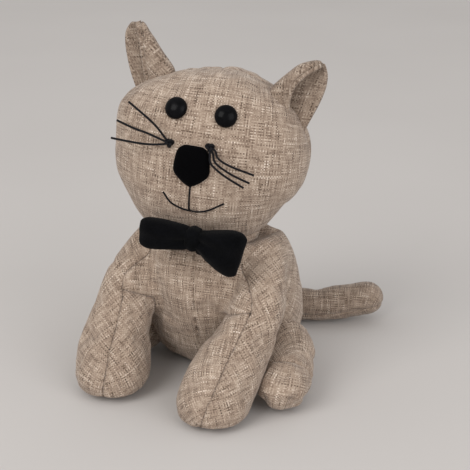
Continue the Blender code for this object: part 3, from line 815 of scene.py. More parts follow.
net = positions(body)
shoulder = np.exp(-((leg_side(net) / MM / 14) ** 2)) * smoothstep(50, 66, net[:, 2] / MM)
soften(body, 0.15 + 0.8 * shoulder * (1 - smoothstep(98, 104, net[:, 2] / MM)), 12)
held = held_near(positions(body), body_seams, 2.4)
fill_with_pressure(body, held, cap=4.0)
print("held points:", int(held.sum()), "of", len(held))

# %% [markdown]
# Cutting, flattening and pinching follow in that order: the flat coordinates come from the shape before it
# is pinched, because real cloth is cut out before it is sewn.

# %% Sewing a filled net into panels
def sew(obj, seams, sides_of, grains, names, depth=SEAM_DEPTH, fold=0.5, extra=None, floor=True):
    """Cuts, unwraps, refines, pinches and separates a filled net. sides_of gives each point's panel."""
    subdivide(obj)
    bm = bmesh.new()
    bm.from_mesh(obj.data)
    bm.verts.ensure_lookup_table()
    for rule, where in seams:
        cut_seam(bm, rule, where)
    bm.to_mesh(obj.data)
    bm.free()
    obj.data.update()

    def panels():
        count = len(obj.data.polygons)
        centres = np.zeros(count * 3)
        obj.data.polygons.foreach_get("center", centres)
        return sides_of(centres.reshape(-1, 3))

    first = panels()
    label = obj.data.attributes.new("panel", "INT", "FACE")
    label.data.foreach_set("value", first.astype(np.int32))
    bm = bmesh.new()
    bm.from_mesh(obj.data)
    bm.faces.ensure_lookup_table()
    for edge in bm.edges:
        edge.seam = len({first[face.index] for face in edge.link_faces}) > 1
    bm.to_mesh(obj.data)
    bm.free()
    lay_flat(obj, first, grains)
    subdivide(obj)
    panel_of = np.zeros(len(obj.data.polygons), np.int32)
    obj.data.attributes["panel"].data.foreach_get("value", panel_of)
    places, normals = positions(obj), normals_of(obj)
    places = groove(places, normals, seam_distances(places, seams), depth)
    if extra:
        places = extra(places, normals)
    places = crumple(places, normals, fold, 30.0, 3.1)
    if floor:
        places[:, 2] = np.maximum(places[:, 2], 0)
    move_to(obj, places)
    return separate(obj, panel_of, names)


def body_panel(places):
    front, leg = front_seam(places), leg_side(places)
    left = places[:, 0] > 0
    inner = inner_seam(places) > 0
    made = np.where(front > 0, np.where(left, 1, 2), np.where(inner, np.where(left, 3, 4), 0))
    made = np.where((leg < 0) & (places[:, 2] < BASE_HEIGHT * MM), 5, made)
    return np.where((leg > 0) & (places[:, 2] < SOLE_HEIGHT * MM), np.where(left, 6, 7), made)


UP = (0, 0, 1)
body_grains = {0: (UP, 0), 1: (UP, 20), 2: (UP, -32), 3: (UP, 38), 4: (UP, -24),
               5: ((0, 1, 0), 0), 6: ((0, 1, 0), 12), 7: ((0, 1, 0), -8)}
body_names = {0: "chest_cloth", 1: "side_cloth_left", 2: "side_cloth_right", 3: "inner_leg_cloth_left",
              4: "inner_leg_cloth_right", 5: "base_cloth", 6: "paw_sole_cloth_left",
              7: "paw_sole_cloth_right"}
cloths = sew(body, body_seams, body_panel, body_grains, body_names)
for name, nodes in {
    "chest_cloth": ("chest_panel", "torso_stuffing", "ballast_bag"),
    "side_cloth_left": ("side_panel_left", "front_leg_left_outer_panel"),
    "side_cloth_right": ("side_panel_right", "front_leg_right_outer_panel"),
    "inner_leg_cloth_left": ("front_leg_left_inner_panel", "front_leg_left_stuffing"),
    "inner_leg_cloth_right": ("front_leg_right_inner_panel", "front_leg_right_stuffing"),
    "base_cloth": ("base_panel",),
    "paw_sole_cloth_left": ("front_paw_left_sole",),
    "paw_sole_cloth_right": ("front_paw_right_sole",),
}.items():
    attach(cloths[name], "torso")
    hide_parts(*nodes)

# %% [markdown]
# The hind feet poke out beside the front legs. Each is a ball at the end of a short haunch that is sewn to
# the body, with a seam over the instep and a flat sole.

# %% Hind feet
FOOT_CENTRES = {"left": (67, -66, 17), "right": (-68, -44, 17)}
FOOT_PATH = (
    ((3, -23.5, -2), 6, 5.5), ((2.5, -20, -1.5), 13, 10.5), ((1.5, -12, -0.5), 18.5, 15),
    ((0, 0, 0), 20, 17), ((-3, 16, 1), 20.5, 18), ((-8, 34, 6), 21, 20), ((-13, 50, 11), 18, 19),
)
INSTEP_BACK = 6.0  # the seam over the instep lies this far behind the middle of the ball
FOOT_GRAINS = {0: (UP, 12), 1: (UP, -30), 2: ((0, 1, 0), 0)}


def instep_rule(side, sign):
    """Above nought on the haunch, below nought on the ball of the foot."""
    centre = np.array(FOOT_CENTRES[side], float) + (0, INSTEP_BACK, 0)
    ahead = np.array((-0.22 * sign, 0.93, 0.18))
    return lambda places: (places / MM - centre) @ ahead * MM


for side, sign in (("left", 1), ("right", -1)):
    centre = np.array(FOOT_CENTRES[side], float)
    stops = [(*(centre + (x * sign, y, z)), wide, deep) for (x, y, z), wide, deep in FOOT_PATH]
    rows = smooth_through(stops, 22)
    bm = bmesh.new()
    add_skin(bm, rows, np.gradient(rows[:, :3], axis=0), 28)
    bmesh.ops.recalc_face_normals(bm, faces=bm.faces)
    shrink(bm, 1.0)
    bmesh.ops.scale(bm, vec=(MM, MM, MM), verts=bm.verts)
    foot = net_of(f"foot_{side}", bm, 3.0)
    instep = instep_rule(side, sign)
    foot_seams = ((instep, lambda p: p[:, 2] > SOLE_HEIGHT * MM - TINY), (sole_seam, lambda p: p[:, 2] > -1))
    fill_with_pressure(foot, held_near(positions(foot), foot_seams, 2.0), cap=3.0, spare=0.09)

    def foot_panel(places, instep=instep):
        made = np.where(instep(places) > 0, 1, 0)
        return np.where(places[:, 2] < SOLE_HEIGHT * MM, 2, made)

    names = {0: f"hind_foot_toe_cloth_{side}", 1: f"haunch_cloth_{side}", 2: f"hind_sole_cloth_{side}"}
    pieces = sew(foot, foot_seams, foot_panel, FOOT_GRAINS, names, depth=1.7, fold=0.5)
    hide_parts(f"hind_foot_{side}_upper", f"hind_foot_{side}_stuffing")
    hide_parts(f"hind_foot_{side}_sole")
    for piece in pieces.values():
        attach(piece, "torso")

# %% [markdown]
# The tail is a stuffed tube that swings on its seam at the body. Its root reaches into the body.

# %% Tail
TAIL_PATH = ((3, 46, 20), (14, 60, 15.2), (30, 70.5, 14.6), (55, 75, 14.6), (78, 84, 16), (95, 90.5, 18.6))
TAIL_RADIUS = 14.2
tail_rows = smooth_through([(*point, TAIL_RADIUS, TAIL_RADIUS) for point in TAIL_PATH], 22)
tip_direction = tail_rows[-1, :3] - tail_rows[-2, :3]
tip_direction /= np.linalg.norm(tip_direction)
for angle in (25, 45, 62, 78):
    size = TAIL_RADIUS * math.cos(math.radians(angle))
    middle = np.array(TAIL_PATH[-1]) + tip_direction * TAIL_RADIUS * math.sin(math.radians(angle))
    tail_rows = np.vstack([tail_rows, (*middle, size, size)])
bm = bmesh.new()
add_skin(bm, tail_rows, np.gradient(tail_rows[:, :3], axis=0), 24)
bmesh.ops.recalc_face_normals(bm, faces=bm.faces)
shrink(bm, 0.9)
bmesh.ops.scale(bm, vec=(MM, MM, MM), verts=bm.verts)
tail = net_of("tail_skin", bm, 3.0)


def tail_seam(places):
    """Above nought on the upper cloth: the seam runs along the tail, a little below its middle."""
    middle = np.interp(places[:, 0] / MM, tail_rows[:, 0], tail_rows[:, 2])
    return places[:, 2] - (middle - 5.0) * MM


tail_seams = ((tail_seam, lambda p: p[:, 2] > -1),)
fill_with_pressure(tail, held_near(positions(tail), tail_seams, 2.0), cap=2.0, spare=0.02)
ALONG_TAIL = ((1, 0.2, 0), 0)
tail_pieces = sew(
    tail, tail_seams, lambda p: np.where(tail_seam(p) > 0, 0, 1), {0: ALONG_TAIL, 1: ALONG_TAIL},
    {0: "tail_cloth_upper", 1: "tail_cloth_lower"}, depth=0.8, fold=0.25,
)
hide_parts("tail_upper_panel", "tail_stuffing")
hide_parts("tail_lower_panel")
for piece in tail_pieces.values():
    # The tail wears the darker copy of the cloth, which is painted shade.
    piece.data.materials[0] = linen_painted_shade
    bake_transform(piece)

# %% [markdown]
# The head is a wide, slightly squared cushion. A face piece and two back pieces meet on a seam that runs
# over the top, and a short dart under the mouth draws in the chin. It is made in its own upright frame and
# then turned as the cat holds it.

# %% Head
HEAD_CENTRE, HEAD_HALF, HEAD_SQUARE = Vector((0, -20, 163)), (70, 48, 60), 2.25
HEAD_ROLL, HEAD_PITCH, HEAD_YAW = 5, -4, 3
HEAD_SEAM_Y, CHIN_SHIFT = 5, 0.1
head_place = (
    Matrix.Translation(HEAD_CENTRE * MM)
    @ Matrix.Rotation(math.radians(HEAD_ROLL), 4, "Y")
    @ Matrix.Rotation(math.radians(HEAD_PITCH), 4, "X")
    @ Matrix.Rotation(math.radians(HEAD_YAW), 4, "Z")
)
from_head = np.array(head_place.inverted())
EYES = {"left": (17, 37.6), "right": (-17, 37.6)}
NOSE_AT = (-0.7, 3.5)


def in_head(places):
    """Positions in the head's own frame, in millimetres."""
    return (places @ from_head[:3, :3].T + from_head[:3, 3]) / MM


def head_shape(smaller=0.0):
    """The head's skin in its own frame, in metres, as the real one sags and is drawn in."""
    bm = bmesh.new()
    bmesh.ops.create_uvsphere(bm, u_segments=64, v_segments=36, radius=1.0)
    for vert in bm.verts:
        size = sum(abs(value) ** HEAD_SQUARE for value in vert.co) ** (-1 / HEAD_SQUARE)
        x, y, z = (value * size * (half - smaller) for value, half in zip(vert.co, HEAD_HALF))
        x += CHIN_SHIFT * min(0.0, z)
        right_cheek = math.exp(-(((x + 66) / 26) ** 2) - (z / 30) ** 2)
        right_temple = math.exp(-(((x + 62) / 22) ** 2) - ((z - 32) / 17) ** 2)
        right_jaw = math.exp(-(((x + 56) / 25) ** 2) - ((z + 35) / 20) ** 2)
        left_jaw = math.exp(-(((x - 50) / 22) ** 2) - ((z + 28) / 15) ** 2)
        crown = math.exp(-(((x - 12) / 21) ** 2)) * float(smoothstep(15, 50, z))
        x += 3.6 * right_cheek - 4.6 * right_temple + 7.2 * right_jaw - 4.2 * left_jaw
        vert.co = Vector((x, y, z + 2.4 * left_jaw + 2.5 * right_jaw + 3.4 * crown)) * MM
    return bm


bm = head_shape(1.3)
bmesh.ops.transform(bm, matrix=head_place, verts=bm.verts)
head = net_of("head_skin", bm, 3.6)


def face_seam(places):
    return (HEAD_SEAM_Y - in_head(places)[:, 1]) * MM


def crown_seam(places):
    return in_head(places)[:, 0] * MM


def behind_face(places):
    return face_seam(places) < TINY


head_seams = ((face_seam, lambda p: p[:, 2] > -1), (crown_seam, behind_face))
fill_with_pressure(head, held_near(positions(head), head_seams, 2.4), cap=3.5, spare=0.04)


def press_face(places, normals):
    """Dimples under the eyes, a hollow round the nose, and the dart that draws in the chin."""
    p = in_head(places)
    front = p[:, 1] < 0
    sink = np.zeros(len(p))
    for x, z in EYES.values():
        sink += 1.3 * np.exp(-(((p[:, 0] - x) ** 2 + (p[:, 2] - z) ** 2) / 60))
    sink += 0.9 * np.exp(-(((p[:, 0] - NOSE_AT[0]) / 13) ** 4 + ((p[:, 2] - NOSE_AT[1]) / 15) ** 4))
    dart_x = 0.4 + 0.02 * (p[:, 2] + 29)
    along_dart = smoothstep(-62, -56, p[:, 2]) * (1 - smoothstep(-30, -27, p[:, 2]))
    away = np.abs(p[:, 0] - dart_x)
    sink += along_dart * (1.1 * np.exp(-away / 1.3) + 0.7 * np.exp(-away / 7))
    return places - normals * (sink * front)[:, None] * MM


def head_panel(places):
    p = in_head(places)
    return np.where(p[:, 1] < HEAD_SEAM_Y, 0, np.where(p[:, 0] > 0, 1, 2))


head_up = tuple(head_place.to_3x3() @ Vector((0, 0, 1)))
head_pieces = sew(
    head, head_seams, head_panel, {0: (head_up, 0), 1: (head_up, 8), 2: (head_up, -8)},
    {0: "face_cloth", 1: "head_back_cloth_left", 2: "head_back_cloth_right"},
    depth=1.0, fold=0.5, extra=press_face, floor=False,
)
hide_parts("face_panel", "head_stuffing", "eye_washer_left", "eye_washer_right")
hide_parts("head_back_panel_left")
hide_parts("head_back_panel_right")
for piece in head_pieces.values():
    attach(piece, "head")

# %% [markdown]
# Everything on the face is placed by looking straight at it: a ray from the front finds the cloth at a
# given width and height, and the part is set on that point, square to the cloth.

# %% Points on the face
face_bm = bmesh.new()
face_bm.from_mesh(head_pieces["face_cloth"].data)
face_tree = BVHTree.FromBMesh(face_bm)
face_bm.free()
face_ahead = (head_place.to_3x3() @ Vector((0, 1, 0))).normalized()


def on_face(x, z, lift=0.0):
    """(point, outward direction) on the face cloth, lifted off it by millimetres."""
    start = head_place @ (Vector((x, -200, z)) * MM)
    point, _, _, _ = face_tree.ray_cast(start, face_ahead)
    around = [face_tree.ray_cast(head_place @ (Vector((x + i, -200, z + k)) * MM), face_ahead)[0]
              for i, k in ((4, 0), (-4, 0), (0, 4), (0, -4))]
    normal = (around[2] - around[3]).cross(around[0] - around[1]).normalized()
    if normal.dot(face_ahead) > 0:
        normal.negate()
    return point + normal * lift * MM, normal


def standing(point, normal):
    """Stands a shape made along +Z on a point, with its own Y kept upright."""
    side = Vector((0, 0, 1)).cross(normal).normalized()
    turn = Matrix((side, normal.cross(side), normal)).transposed().to_4x4()
    return Matrix.Translation(point) @ turn


def on_head(obj, node):
    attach(obj, "head")
    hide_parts(node)
    return obj


print("nose stands at", tuple(round(v, 4) for v in on_face(*NOSE_AT)[0]))

# %% [markdown]
# The whiskers are stiff waxed cord, knotted where they come out of the cloth. They are free cords, so each
# follows the same route as its solid in the model.

# %% Whiskers and knots
WHISKER = 1.5
KNOTS = {"left": (10.5, 17.5), "right": (-17, 16)}
KNOT_LIFT = 2.2
ROOT_SHARE, ROOT_LIFT = 0.25, 2.8  # a whisker starts inside its knot, this share of the way to its route
WHISKER_ROUTES = {
    "left": (
        ((14.6, 15.8, 3.6), (17.2, 11.6, 5), (25, 8.3, 8), (39, 5, 11)),
        ((13.4, 13.7, 3.4), (16, 8.5, 5), (26, 3.5, 8), (37, 0, 11)),
        ((11.5, 13.0, 3.6), (13.3, 7.5, 5), (22, 2, 8), (33.5, -3.5, 11)),
    ),
    "right": (
        ((-20, 19, 4), (-25, 24, 6.5), (-31, 28, 9), (-44, 33, 12)),
        ((-21, 17, 4), (-30, 19.5, 7), (-39, 21, 11), (-48, 23, 14)),
        ((-21, 14.5, 4), (-29.5, 13, 7), (-39, 12.5, 11), (-49, 12.5, 15)),
    ),
}


def round_cord(name, points, diameter, finish, closed=False):
    """A round cord through points in metres."""
    curve = bpy.data.curves.new(name, "CURVE")
    curve.dimensions = "3D"
    curve.bevel_depth = diameter * MM / 2
    curve.bevel_resolution = 3
    curve.use_fill_caps = not closed
    spline = curve.splines.new("POLY")
    spline.points.add(len(points) - 1)
    for point, place in zip(spline.points, points):
        point.co = (*place, 1)
    spline.use_cyclic_u = closed
    spline.use_smooth = True
    curve.materials.append(finish)
    obj = bpy.data.objects.new(name, curve)
    scene.collection.objects.link(obj)
    return obj


def as_mesh(obj, name):
    """A finished curve becomes a mesh, with its ends' doubled points merged."""
    made = bpy.data.meshes.new_from_object(obj.evaluated_get(bpy.context.evaluated_depsgraph_get()))
    bpy.data.objects.remove(obj)
    bm = bmesh.new()
    bm.from_mesh(made)
    bmesh.ops.remove_doubles(bm, verts=bm.verts, dist=0.01 * MM)
    bmesh.ops.recalc_face_normals(bm, faces=bm.faces)
    bm.to_mesh(made)
    bm.free()
    made.shade_smooth()
    made.name = name
    piece = bpy.data.objects.new(name, made)
    scene.collection.objects.link(piece)
    return piece


for side, routes in WHISKER_ROUTES.items():
    point, normal = on_face(*KNOTS[side], KNOT_LIFT)
    turns = np.linspace(0, math.tau, 60, endpoint=False)
    size = 0.82 * MM
    place = standing(point, normal)
    loop = [
        place @ Vector((
            size * (math.sin(t) + 2 * math.sin(2 * t)),
            size * (math.cos(t) - 2 * math.cos(2 * t)),
            -size * 1.2 * math.sin(3 * t),
        ))
        for t in turns
    ]
    on_head(as_mesh(round_cord("knot", loop, 2.0, cord_black, closed=True), f"knot_{side}"),
            f"whisker_knot_{side}")
    for number, route in enumerate(routes, 1):
        knot_x, knot_z = KNOTS[side]
        first_x, first_z, _ = route[0]
        root_x, root_z = (k + ROOT_SHARE * (first - k) for k, first in ((knot_x, first_x), (knot_z, first_z)))
        start = (root_x, root_z, ROOT_LIFT)
        points = [tuple(on_face(*stop)[0]) for stop in (start, *route)]
        line = smooth_through(points, 28)
        whisker = on_head(round_cord(f"whisker_cord_{side}_{number}", line, WHISKER, cord_black),
                          f"whisker_{side}_{number}")

# %% [markdown]
# The eyes are domed buttons turned on an axis. The nose is a padded shield whose every point is set on the
# cloth under it, so its edge never lifts. The mouth is sewn with one heavy thread.

# %% Eyes, nose and mouth
EYE_RADIUS, EYE_HEIGHT, EYE_RIM = 7.6, 6.0, 1.5
NOSE_OUTLINE = (  # one half of the shield, from its top middle round to its point: width, height
    (0, 13.4), (6.6, 12.9), (10.6, 9.6), (12.2, 2.5), (12.3, -5.0), (8.6, -9.8), (3.6, -13.4), (0, -15.0),
)
NOSE_HEIGHT, NOSE_FULLNESS = 5.6, 2.6
THREAD = 1.3
MOUTH_LINE = ((-0.4, -11.0), (-0.6, -20), (-0.5, -28.6))
SMILE = ((-19, -18.4), (-12.6, -25.5), (-0.5, -29), (10.7, -27.4), (23, -20))

dome = [(EYE_RADIUS * math.cos(angle), EYE_RIM + (EYE_HEIGHT - EYE_RIM) * math.sin(angle))
        for angle in np.linspace(math.pi / 2, 0, 14)]
eye_profile = dome + [(7.62, 0.9), (7.5, 0.3), (7.0, -0.3), (2.2, -0.6), (2.0, -3.4), (0, -3.4)]
for side, (x, z) in EYES.items():
    bm = bmesh.new()
    verts = [bm.verts.new((radius * MM, 0, height * MM)) for radius, height in eye_profile]
    edges = [bm.edges.new(pair) for pair in zip(verts, verts[1:])]
    bmesh.ops.spin(
        bm, geom=verts + edges, cent=(0, 0, 0), axis=(0, 0, 1), angle=math.tau, steps=48, use_merge=True
    )
    bmesh.ops.remove_doubles(bm, verts=bm.verts, dist=0.001 * MM)
    bmesh.ops.transform(bm, matrix=standing(*on_face(x, z, 0.3)), verts=bm.verts)
    on_head(make_piece(f"eye_button_{side}", bm, plastic), f"eye_{side}")

outline = smooth_through(NOSE_OUTLINE, 60)
bearing = np.arctan2(outline[:, 0], outline[:, 1])
reach = np.hypot(outline[:, 0], outline[:, 1])
bm = bmesh.new()
bmesh.ops.create_uvsphere(bm, u_segments=72, v_segments=28, radius=1.0)
for vert in bm.verts:
    flat = min(1.0, math.hypot(vert.co.x, vert.co.y))
    angle = math.atan2(abs(vert.co.x), vert.co.y)
    size = float(np.interp(angle, bearing, reach)) * flat
    x, z = math.copysign(math.sin(angle), vert.co.x) * size, math.cos(angle) * size
    rise = (1 - flat**NOSE_FULLNESS) ** (1 / NOSE_FULLNESS)
    lift = NOSE_HEIGHT * rise - 0.6 if vert.co.z > 0 else -0.6 - 0.8 * rise
    vert.co = on_face(NOSE_AT[0] + x, NOSE_AT[1] + z, lift)[0]
on_head(make_piece("nose", bm, velvet), "nose_pad")


def sewn_thread(name, stops, node):
    points = [tuple(on_face(x, z, 0.15)[0]) for x, z in smooth_through(stops, 24)]
    on_head(as_mesh(round_cord("thread", points, THREAD, cord_black), name), node)


sewn_thread("mouth_thread", MOUTH_LINE, "mouth_centre_stitch")
sewn_thread("smile_thread", SMILE, "mouth_smile_stitch")
print("face parts set on the cloth")

# %% [markdown]
# An ear is two leaves of cloth sewn together round the rim, turned, and folded so that its inner edge laps
# over the front. Across the ear the cloth runs flat, turns round, and comes back as a flap. Each row gives
# the height of three lines, from the base to the tip: the outer edge, the fold, and the flap's edge.

# %% Ears
EAR_ROWS = {  # (x, z) in millimetres of outer edge, fold and flap edge; then how deep the fold is
    "right": (
        ((-50.5, 196), (-29.2, 212), (-46.2, 203), 4.5),
        ((-54.6, 204.5), (-27.8, 219.8), (-47.6, 212.5), 5.0),
        ((-58.6, 215.6), (-31.2, 225.8), (-48.8, 220), 5.0),
        ((-61, 226), (-37.6, 234.5), (-49.8, 230), 4.6),
        ((-62.4, 237.1), (-43.2, 242.5), (-50.8, 239.5), 4.0),
        ((-62.2, 244.7), (-47.1, 248.3), (-51.9, 246.5), 3.2),
        ((-60.0, 249.5), (-50.0, 251.0), (-53.0, 250.3), 2.4),
        ((-57.6, 251.9), (-52.6, 252.0), (-54.2, 252), 1.8),
    ),
    "left": (
        ((60.5, 175), (43.2, 203), (54.5, 192), 4.5),
        ((66, 184.1), (44.5, 212.4), (57.3, 200.4), 5.0),
        ((71.0, 194.0), (50.0, 218.6), (58.0, 208.0), 5.0),
        ((76.2, 204.5), (56.2, 224.3), (60.4, 216.0), 4.8),
        ((80.0, 214.6), (62.9, 229.4), (65.6, 223.0), 4.4),
        ((81.0, 222.5), (69.4, 232.0), (70.8, 228.2), 3.6),
        ((79.4, 228.6), (73.4, 232.6), (74.4, 230.8), 2.6),
        ((77.6, 231.2), (75.4, 232.4), (75.8, 231.8), 1.8),
    ),
}
EAR_BACK_Y, EAR_CUP = {"left": -14.5, "right": -14.5}, 3.4
EAR_LENGTH, EAR_PAD, EAR_EDGE = 50.0, 1.5, 0.45
EAR_DEPTH = {"left": 2.3, "right": 1.6}
EAR_STITCH = 4.0  # the line of stitches lies this far inside the rim


def ear_section(outer, fold, flap, deep, closing, back_y, count):
    """Points across one height of an ear, and their distance along the cloth from the fold."""
    outer, fold, flap = (np.array(point, float) for point in (outer, fold, flap))
    across = (outer - fold) / np.linalg.norm(outer - fold)
    wide = np.linalg.norm(outer - fold)
    radius = deep / 2
    points = []
    for t in np.linspace(0, 1, 16):
        back = fold + across * (radius + (wide - radius) * (1 - t))
        points.append((*back, back_y - EAR_CUP * (1 - t) ** 3 * min(1.0, wide / 20)))
    for angle in np.linspace(0, math.pi, 9)[1:-1]:
        round_x = radius * (1 - math.sin(angle))
        points.append((*(fold + across * round_x), back_y - radius * (1 - math.cos(angle))))
    back_again = max(float((flap - fold) @ across), radius + 0.4)
    sideways = (flap - fold) - across * float((flap - fold) @ across)
    for t in np.linspace(0, 1, 12):
        here = fold + across * (radius + (back_again - radius) * t) + sideways * t
        points.append((*here, back_y - deep - 0.8 * math.sin(math.pi * t) + closing * t**2))
    points = np.array(points)[:, [0, 2, 1]]
    run = np.concatenate([[0], np.cumsum(np.linalg.norm(np.diff(points, axis=0), axis=1))])
    steps = np.linspace(0, run[-1], count)
    made = np.stack([np.interp(steps, run, points[:, i]) for i in range(3)], axis=1)
    return made, steps - run[19], run[-1]


def ear_sheet(side, columns, rows):
    """The middle surface of an ear as arrays: places, flat coordinates, and distance from the rim."""
    lines = np.array([[*outer, *fold, *flap, deep] for outer, fold, flap, deep in EAR_ROWS[side]])
    places, flat, rim = [], [], []
    for row, line in enumerate(smooth_through(lines, rows)):
        height = row / (rows - 1)
        closing = 1.2 if side == "left" else max(0.0, line[6] * EAR_DEPTH[side] - 5.0)
        deep = line[6] * EAR_DEPTH[side]
        made, along, whole = ear_section(
            line[0:2], line[2:4], line[4:6], deep, closing, EAR_BACK_Y[side], columns
        )
        places.append(made)
        flat.append(np.stack([along, np.full(columns, height * EAR_LENGTH)], axis=1))
        edge = np.minimum(along - along[0], whole - (along - along[0]))
        rim.append(np.minimum(edge, (1 - height) * EAR_LENGTH))
    return np.array(places), np.array(flat), np.array(rim)


def ear_cloth(name, side, outward):
    """One leaf of an ear, thick in its middle and closing to the rim."""
    columns, rows = 97, 81
    places, flat, rim = ear_sheet(side, columns, rows)
    along_row = np.gradient(places, axis=1)
    up_column = np.gradient(places, axis=0)
    normal = np.cross(along_row, up_column)
    normal /= np.maximum(np.linalg.norm(normal, axis=2, keepdims=True), 1e-9)
    middle = normal[rows // 3, 4]
    back_facing = 1 if middle[1] > 0 else -1
    normal *= back_facing * outward
    pad = EAR_EDGE + (EAR_PAD - EAR_EDGE) * np.sqrt(1 - (1 - np.clip(rim / 3.2, 0, 1)) ** 2)
    stitch = np.exp(-(((rim - EAR_STITCH) / 0.85) ** 2)) * (outward > 0)
    pad = pad * (1 - 0.95 * stitch)
    if outward < 0:
        bend = np.array([line[6] for line in smooth_through([[r[3]] * 7 for r in EAR_ROWS[side]], rows)])
        pad = np.minimum(pad, 0.3 * bend[:, None] * EAR_DEPTH[side])
    outside = places + normal * (0.08 + pad)[:, :, None]
    shift = Vector((7 * outward, 0, 0))
    wrinkle = np.array([[noise.noise(Vector(p) / 9.0 + shift) for p in row] for row in outside])
    outside += normal * wrinkle[:, :, None] * 0.5 * np.clip(rim / 4, 0, 1)[:, :, None]
    inside = places + normal * 0.08
    bm = bmesh.new()
    loops = []
    for layer in (outside, inside):
        before = set(bm.verts)
        bmesh.ops.create_grid(bm, x_segments=columns - 1, y_segments=rows - 1, size=1.0)
        made = [vert for vert in bm.verts if vert not in before]
        uv = bm.loops.layers.uv.verify()
        where = {}
        for vert in made:
            i = round((vert.co.x + 1) / 2 * (columns - 1))
            j = round((vert.co.y + 1) / 2 * (rows - 1))
            where[vert] = (j, i)
        for face in {face for vert in made for face in vert.link_faces}:
            for loop in face.loops:
                j, i = where[loop.vert]
                loop[uv].uv = Vector(flat[j, i]) * MM
        for vert, (j, i) in where.items():
            vert.co = Vector(layer[j, i]) * MM
        loops.append(list({edge for vert in made for edge in vert.link_edges if edge.is_boundary}))
    bmesh.ops.bridge_loops(bm, edges=loops[0] + loops[1])
    turn = math.radians(EAR_GRAIN[side])
    spin = Matrix.Rotation(turn, 2)
    for face in bm.faces:
        for loop in face.loops:
            loop[uv].uv = spin @ loop[uv].uv + Vector((2.37, 0.43 * outward))
    # The ears wear the darker copy of the cloth, which is painted shade.
    return make_piece(name, bm, linen_painted_shade)


EAR_GRAIN = {"left": 38, "right": 12}
for side in ("left", "right"):
    for name, outward in (("back", 1), ("front", -1)):
        cloth = ear_cloth(f"ear_{name}_cloth_{side}", side, outward)
        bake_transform(cloth)
        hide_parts(f"ear_{side}_{name}_panel")
print("two ears, two leaves of cloth each")

# %% [markdown]
# The bow tie is cotton gathered under a wrap. Pleats run out from the knot and fade towards the wing's
# open end, and the wing's outline spreads as it goes.

# %% Bow tie
BOW_CENTRE = Vector((4.5, -72, 119.5))
BOW_WINGS = {
    "left": (17, ((1.5, 6.5, 3.5), (4.4, 7.6, 4.6), (7, 8.4, 5.2), (12, 11, 7), (22, 15, 8.5),
                  (29.5, 16.6, 7.6), (33.6, 15.4, 4.6), (35.2, 13.6, 2.2))),
    "right": (4, ((1.5, 6.5, 3.5), (3.6, 7.4, 4.4), (6, 8.2, 5.2), (12, 9, 6.5), (22, 10, 8), (31, 10.6, 7.4),
                  (35.6, 9.4, 4.6), (37.2, 7.8, 2.2))),
}
BOW_FORWARD = {"left": 0, "right": 6}  # the right wing stands forward, clear of the cheek as the head turns
PLEATS = {"left": (0.7, 5.0), "right": (2.1, 4.0)}  # where they start round the wing, and how many


def bow_wing(name, side, sign):
    droop, rings = BOW_WINGS[side]
    forward = Matrix.Rotation(math.radians(BOW_FORWARD[side]), 4, "Z")
    place = Matrix.Translation(BOW_CENTRE) @ forward @ Matrix.Rotation(math.radians(droop), 4, "Y")
    rows = smooth_through(rings, 34)
    sides = 72
    bm = bmesh.new()
    loops = []
    turn, number = PLEATS[side]
    for x, height, depth in rows:
        share = (x - rows[0, 0]) / (rows[-1, 0] - rows[0, 0])
        fade = 1.5 * math.exp(-share * 2.2) * smoothstep(0, 0.06, share) + 0.25
        made = bmesh.ops.create_circle(bm, segments=sides, radius=1.0)["verts"]
        for vert in made:
            angle = math.atan2(vert.co.y, vert.co.x)
            squash = (abs(math.cos(angle)) ** 2.6 + abs(math.sin(angle)) ** 2.6) ** (-1 / 2.6)
            pleat = math.cos(number * angle + turn + 0.8 * math.sin(angle * 2)) * fade
            around = Vector((x * sign / 9.0, math.cos(angle) * 1.1, math.sin(angle) * 1.1 + 5))
            soft = noise.noise(around) * 0.9 * share
            wide = depth * squash + pleat * 0.9 + soft
            tall = height * squash + pleat * 0.35 + soft * 0.4
            vert.co = place @ Vector((x * sign, wide * math.cos(angle), tall * math.sin(angle))) * MM
        loops.append(list({edge for vert in made for edge in vert.link_edges}))
    for low, high in zip(loops, loops[1:]):
        bmesh.ops.bridge_loops(bm, edges=low + high)
    bmesh.ops.holes_fill(bm, edges=loops[0] + loops[-1], sides=sides + 1)
    uv = bm.loops.layers.uv.verify()
    for face in bm.faces:
        for loop in face.loops:
            local = loop.vert.co / MM - BOW_CENTRE
            round_it = math.atan2(local.z, local.y)
            if face.calc_center_median().y / MM > BOW_CENTRE.y and round_it < 0:
                round_it += math.tau
            loop[uv].uv = (local.x * MM, round_it * 11 * MM)
    return make_piece(name, bm, cotton)


def bow_wrap():
    bm = bmesh.new()
    bmesh.ops.create_uvsphere(bm, u_segments=48, v_segments=32, radius=1.0)
    for vert in bm.verts:
        size = sum(abs(value) ** 3.4 for value in vert.co) ** (-1 / 3.4)
        x, y, z = (value * size * half for value, half in zip(vert.co, (5.5, 6.5, 8.2)))
        fold = 0.45 * math.cos(1.1 * x + 0.10 * z) + 0.6 * noise.noise(Vector((x / 4, y / 7, z / 7)))
        vert.co = Vector((x, y * (1 + fold / 11), z * (1 + fold / 22)))
    turn = Matrix.Rotation(math.radians(9), 4, "Y")
    bmesh.ops.transform(bm, matrix=Matrix.Translation(BOW_CENTRE) @ turn, verts=bm.verts)
    bmesh.ops.scale(bm, vec=(MM, MM, MM), verts=bm.verts)
    uv = bm.loops.layers.uv.verify()
    for face in bm.faces:
        for loop in face.loops:
            loop[uv].uv = (loop.vert.co.x, loop.vert.co.z + loop.vert.co.y)
    return make_piece("bow_knot", bm, cotton)


TAB_ENDS, TAB_HALF = ((4.5, -68.5, 114.6), (4.5, -49, 96)), (3.4, 2.0)


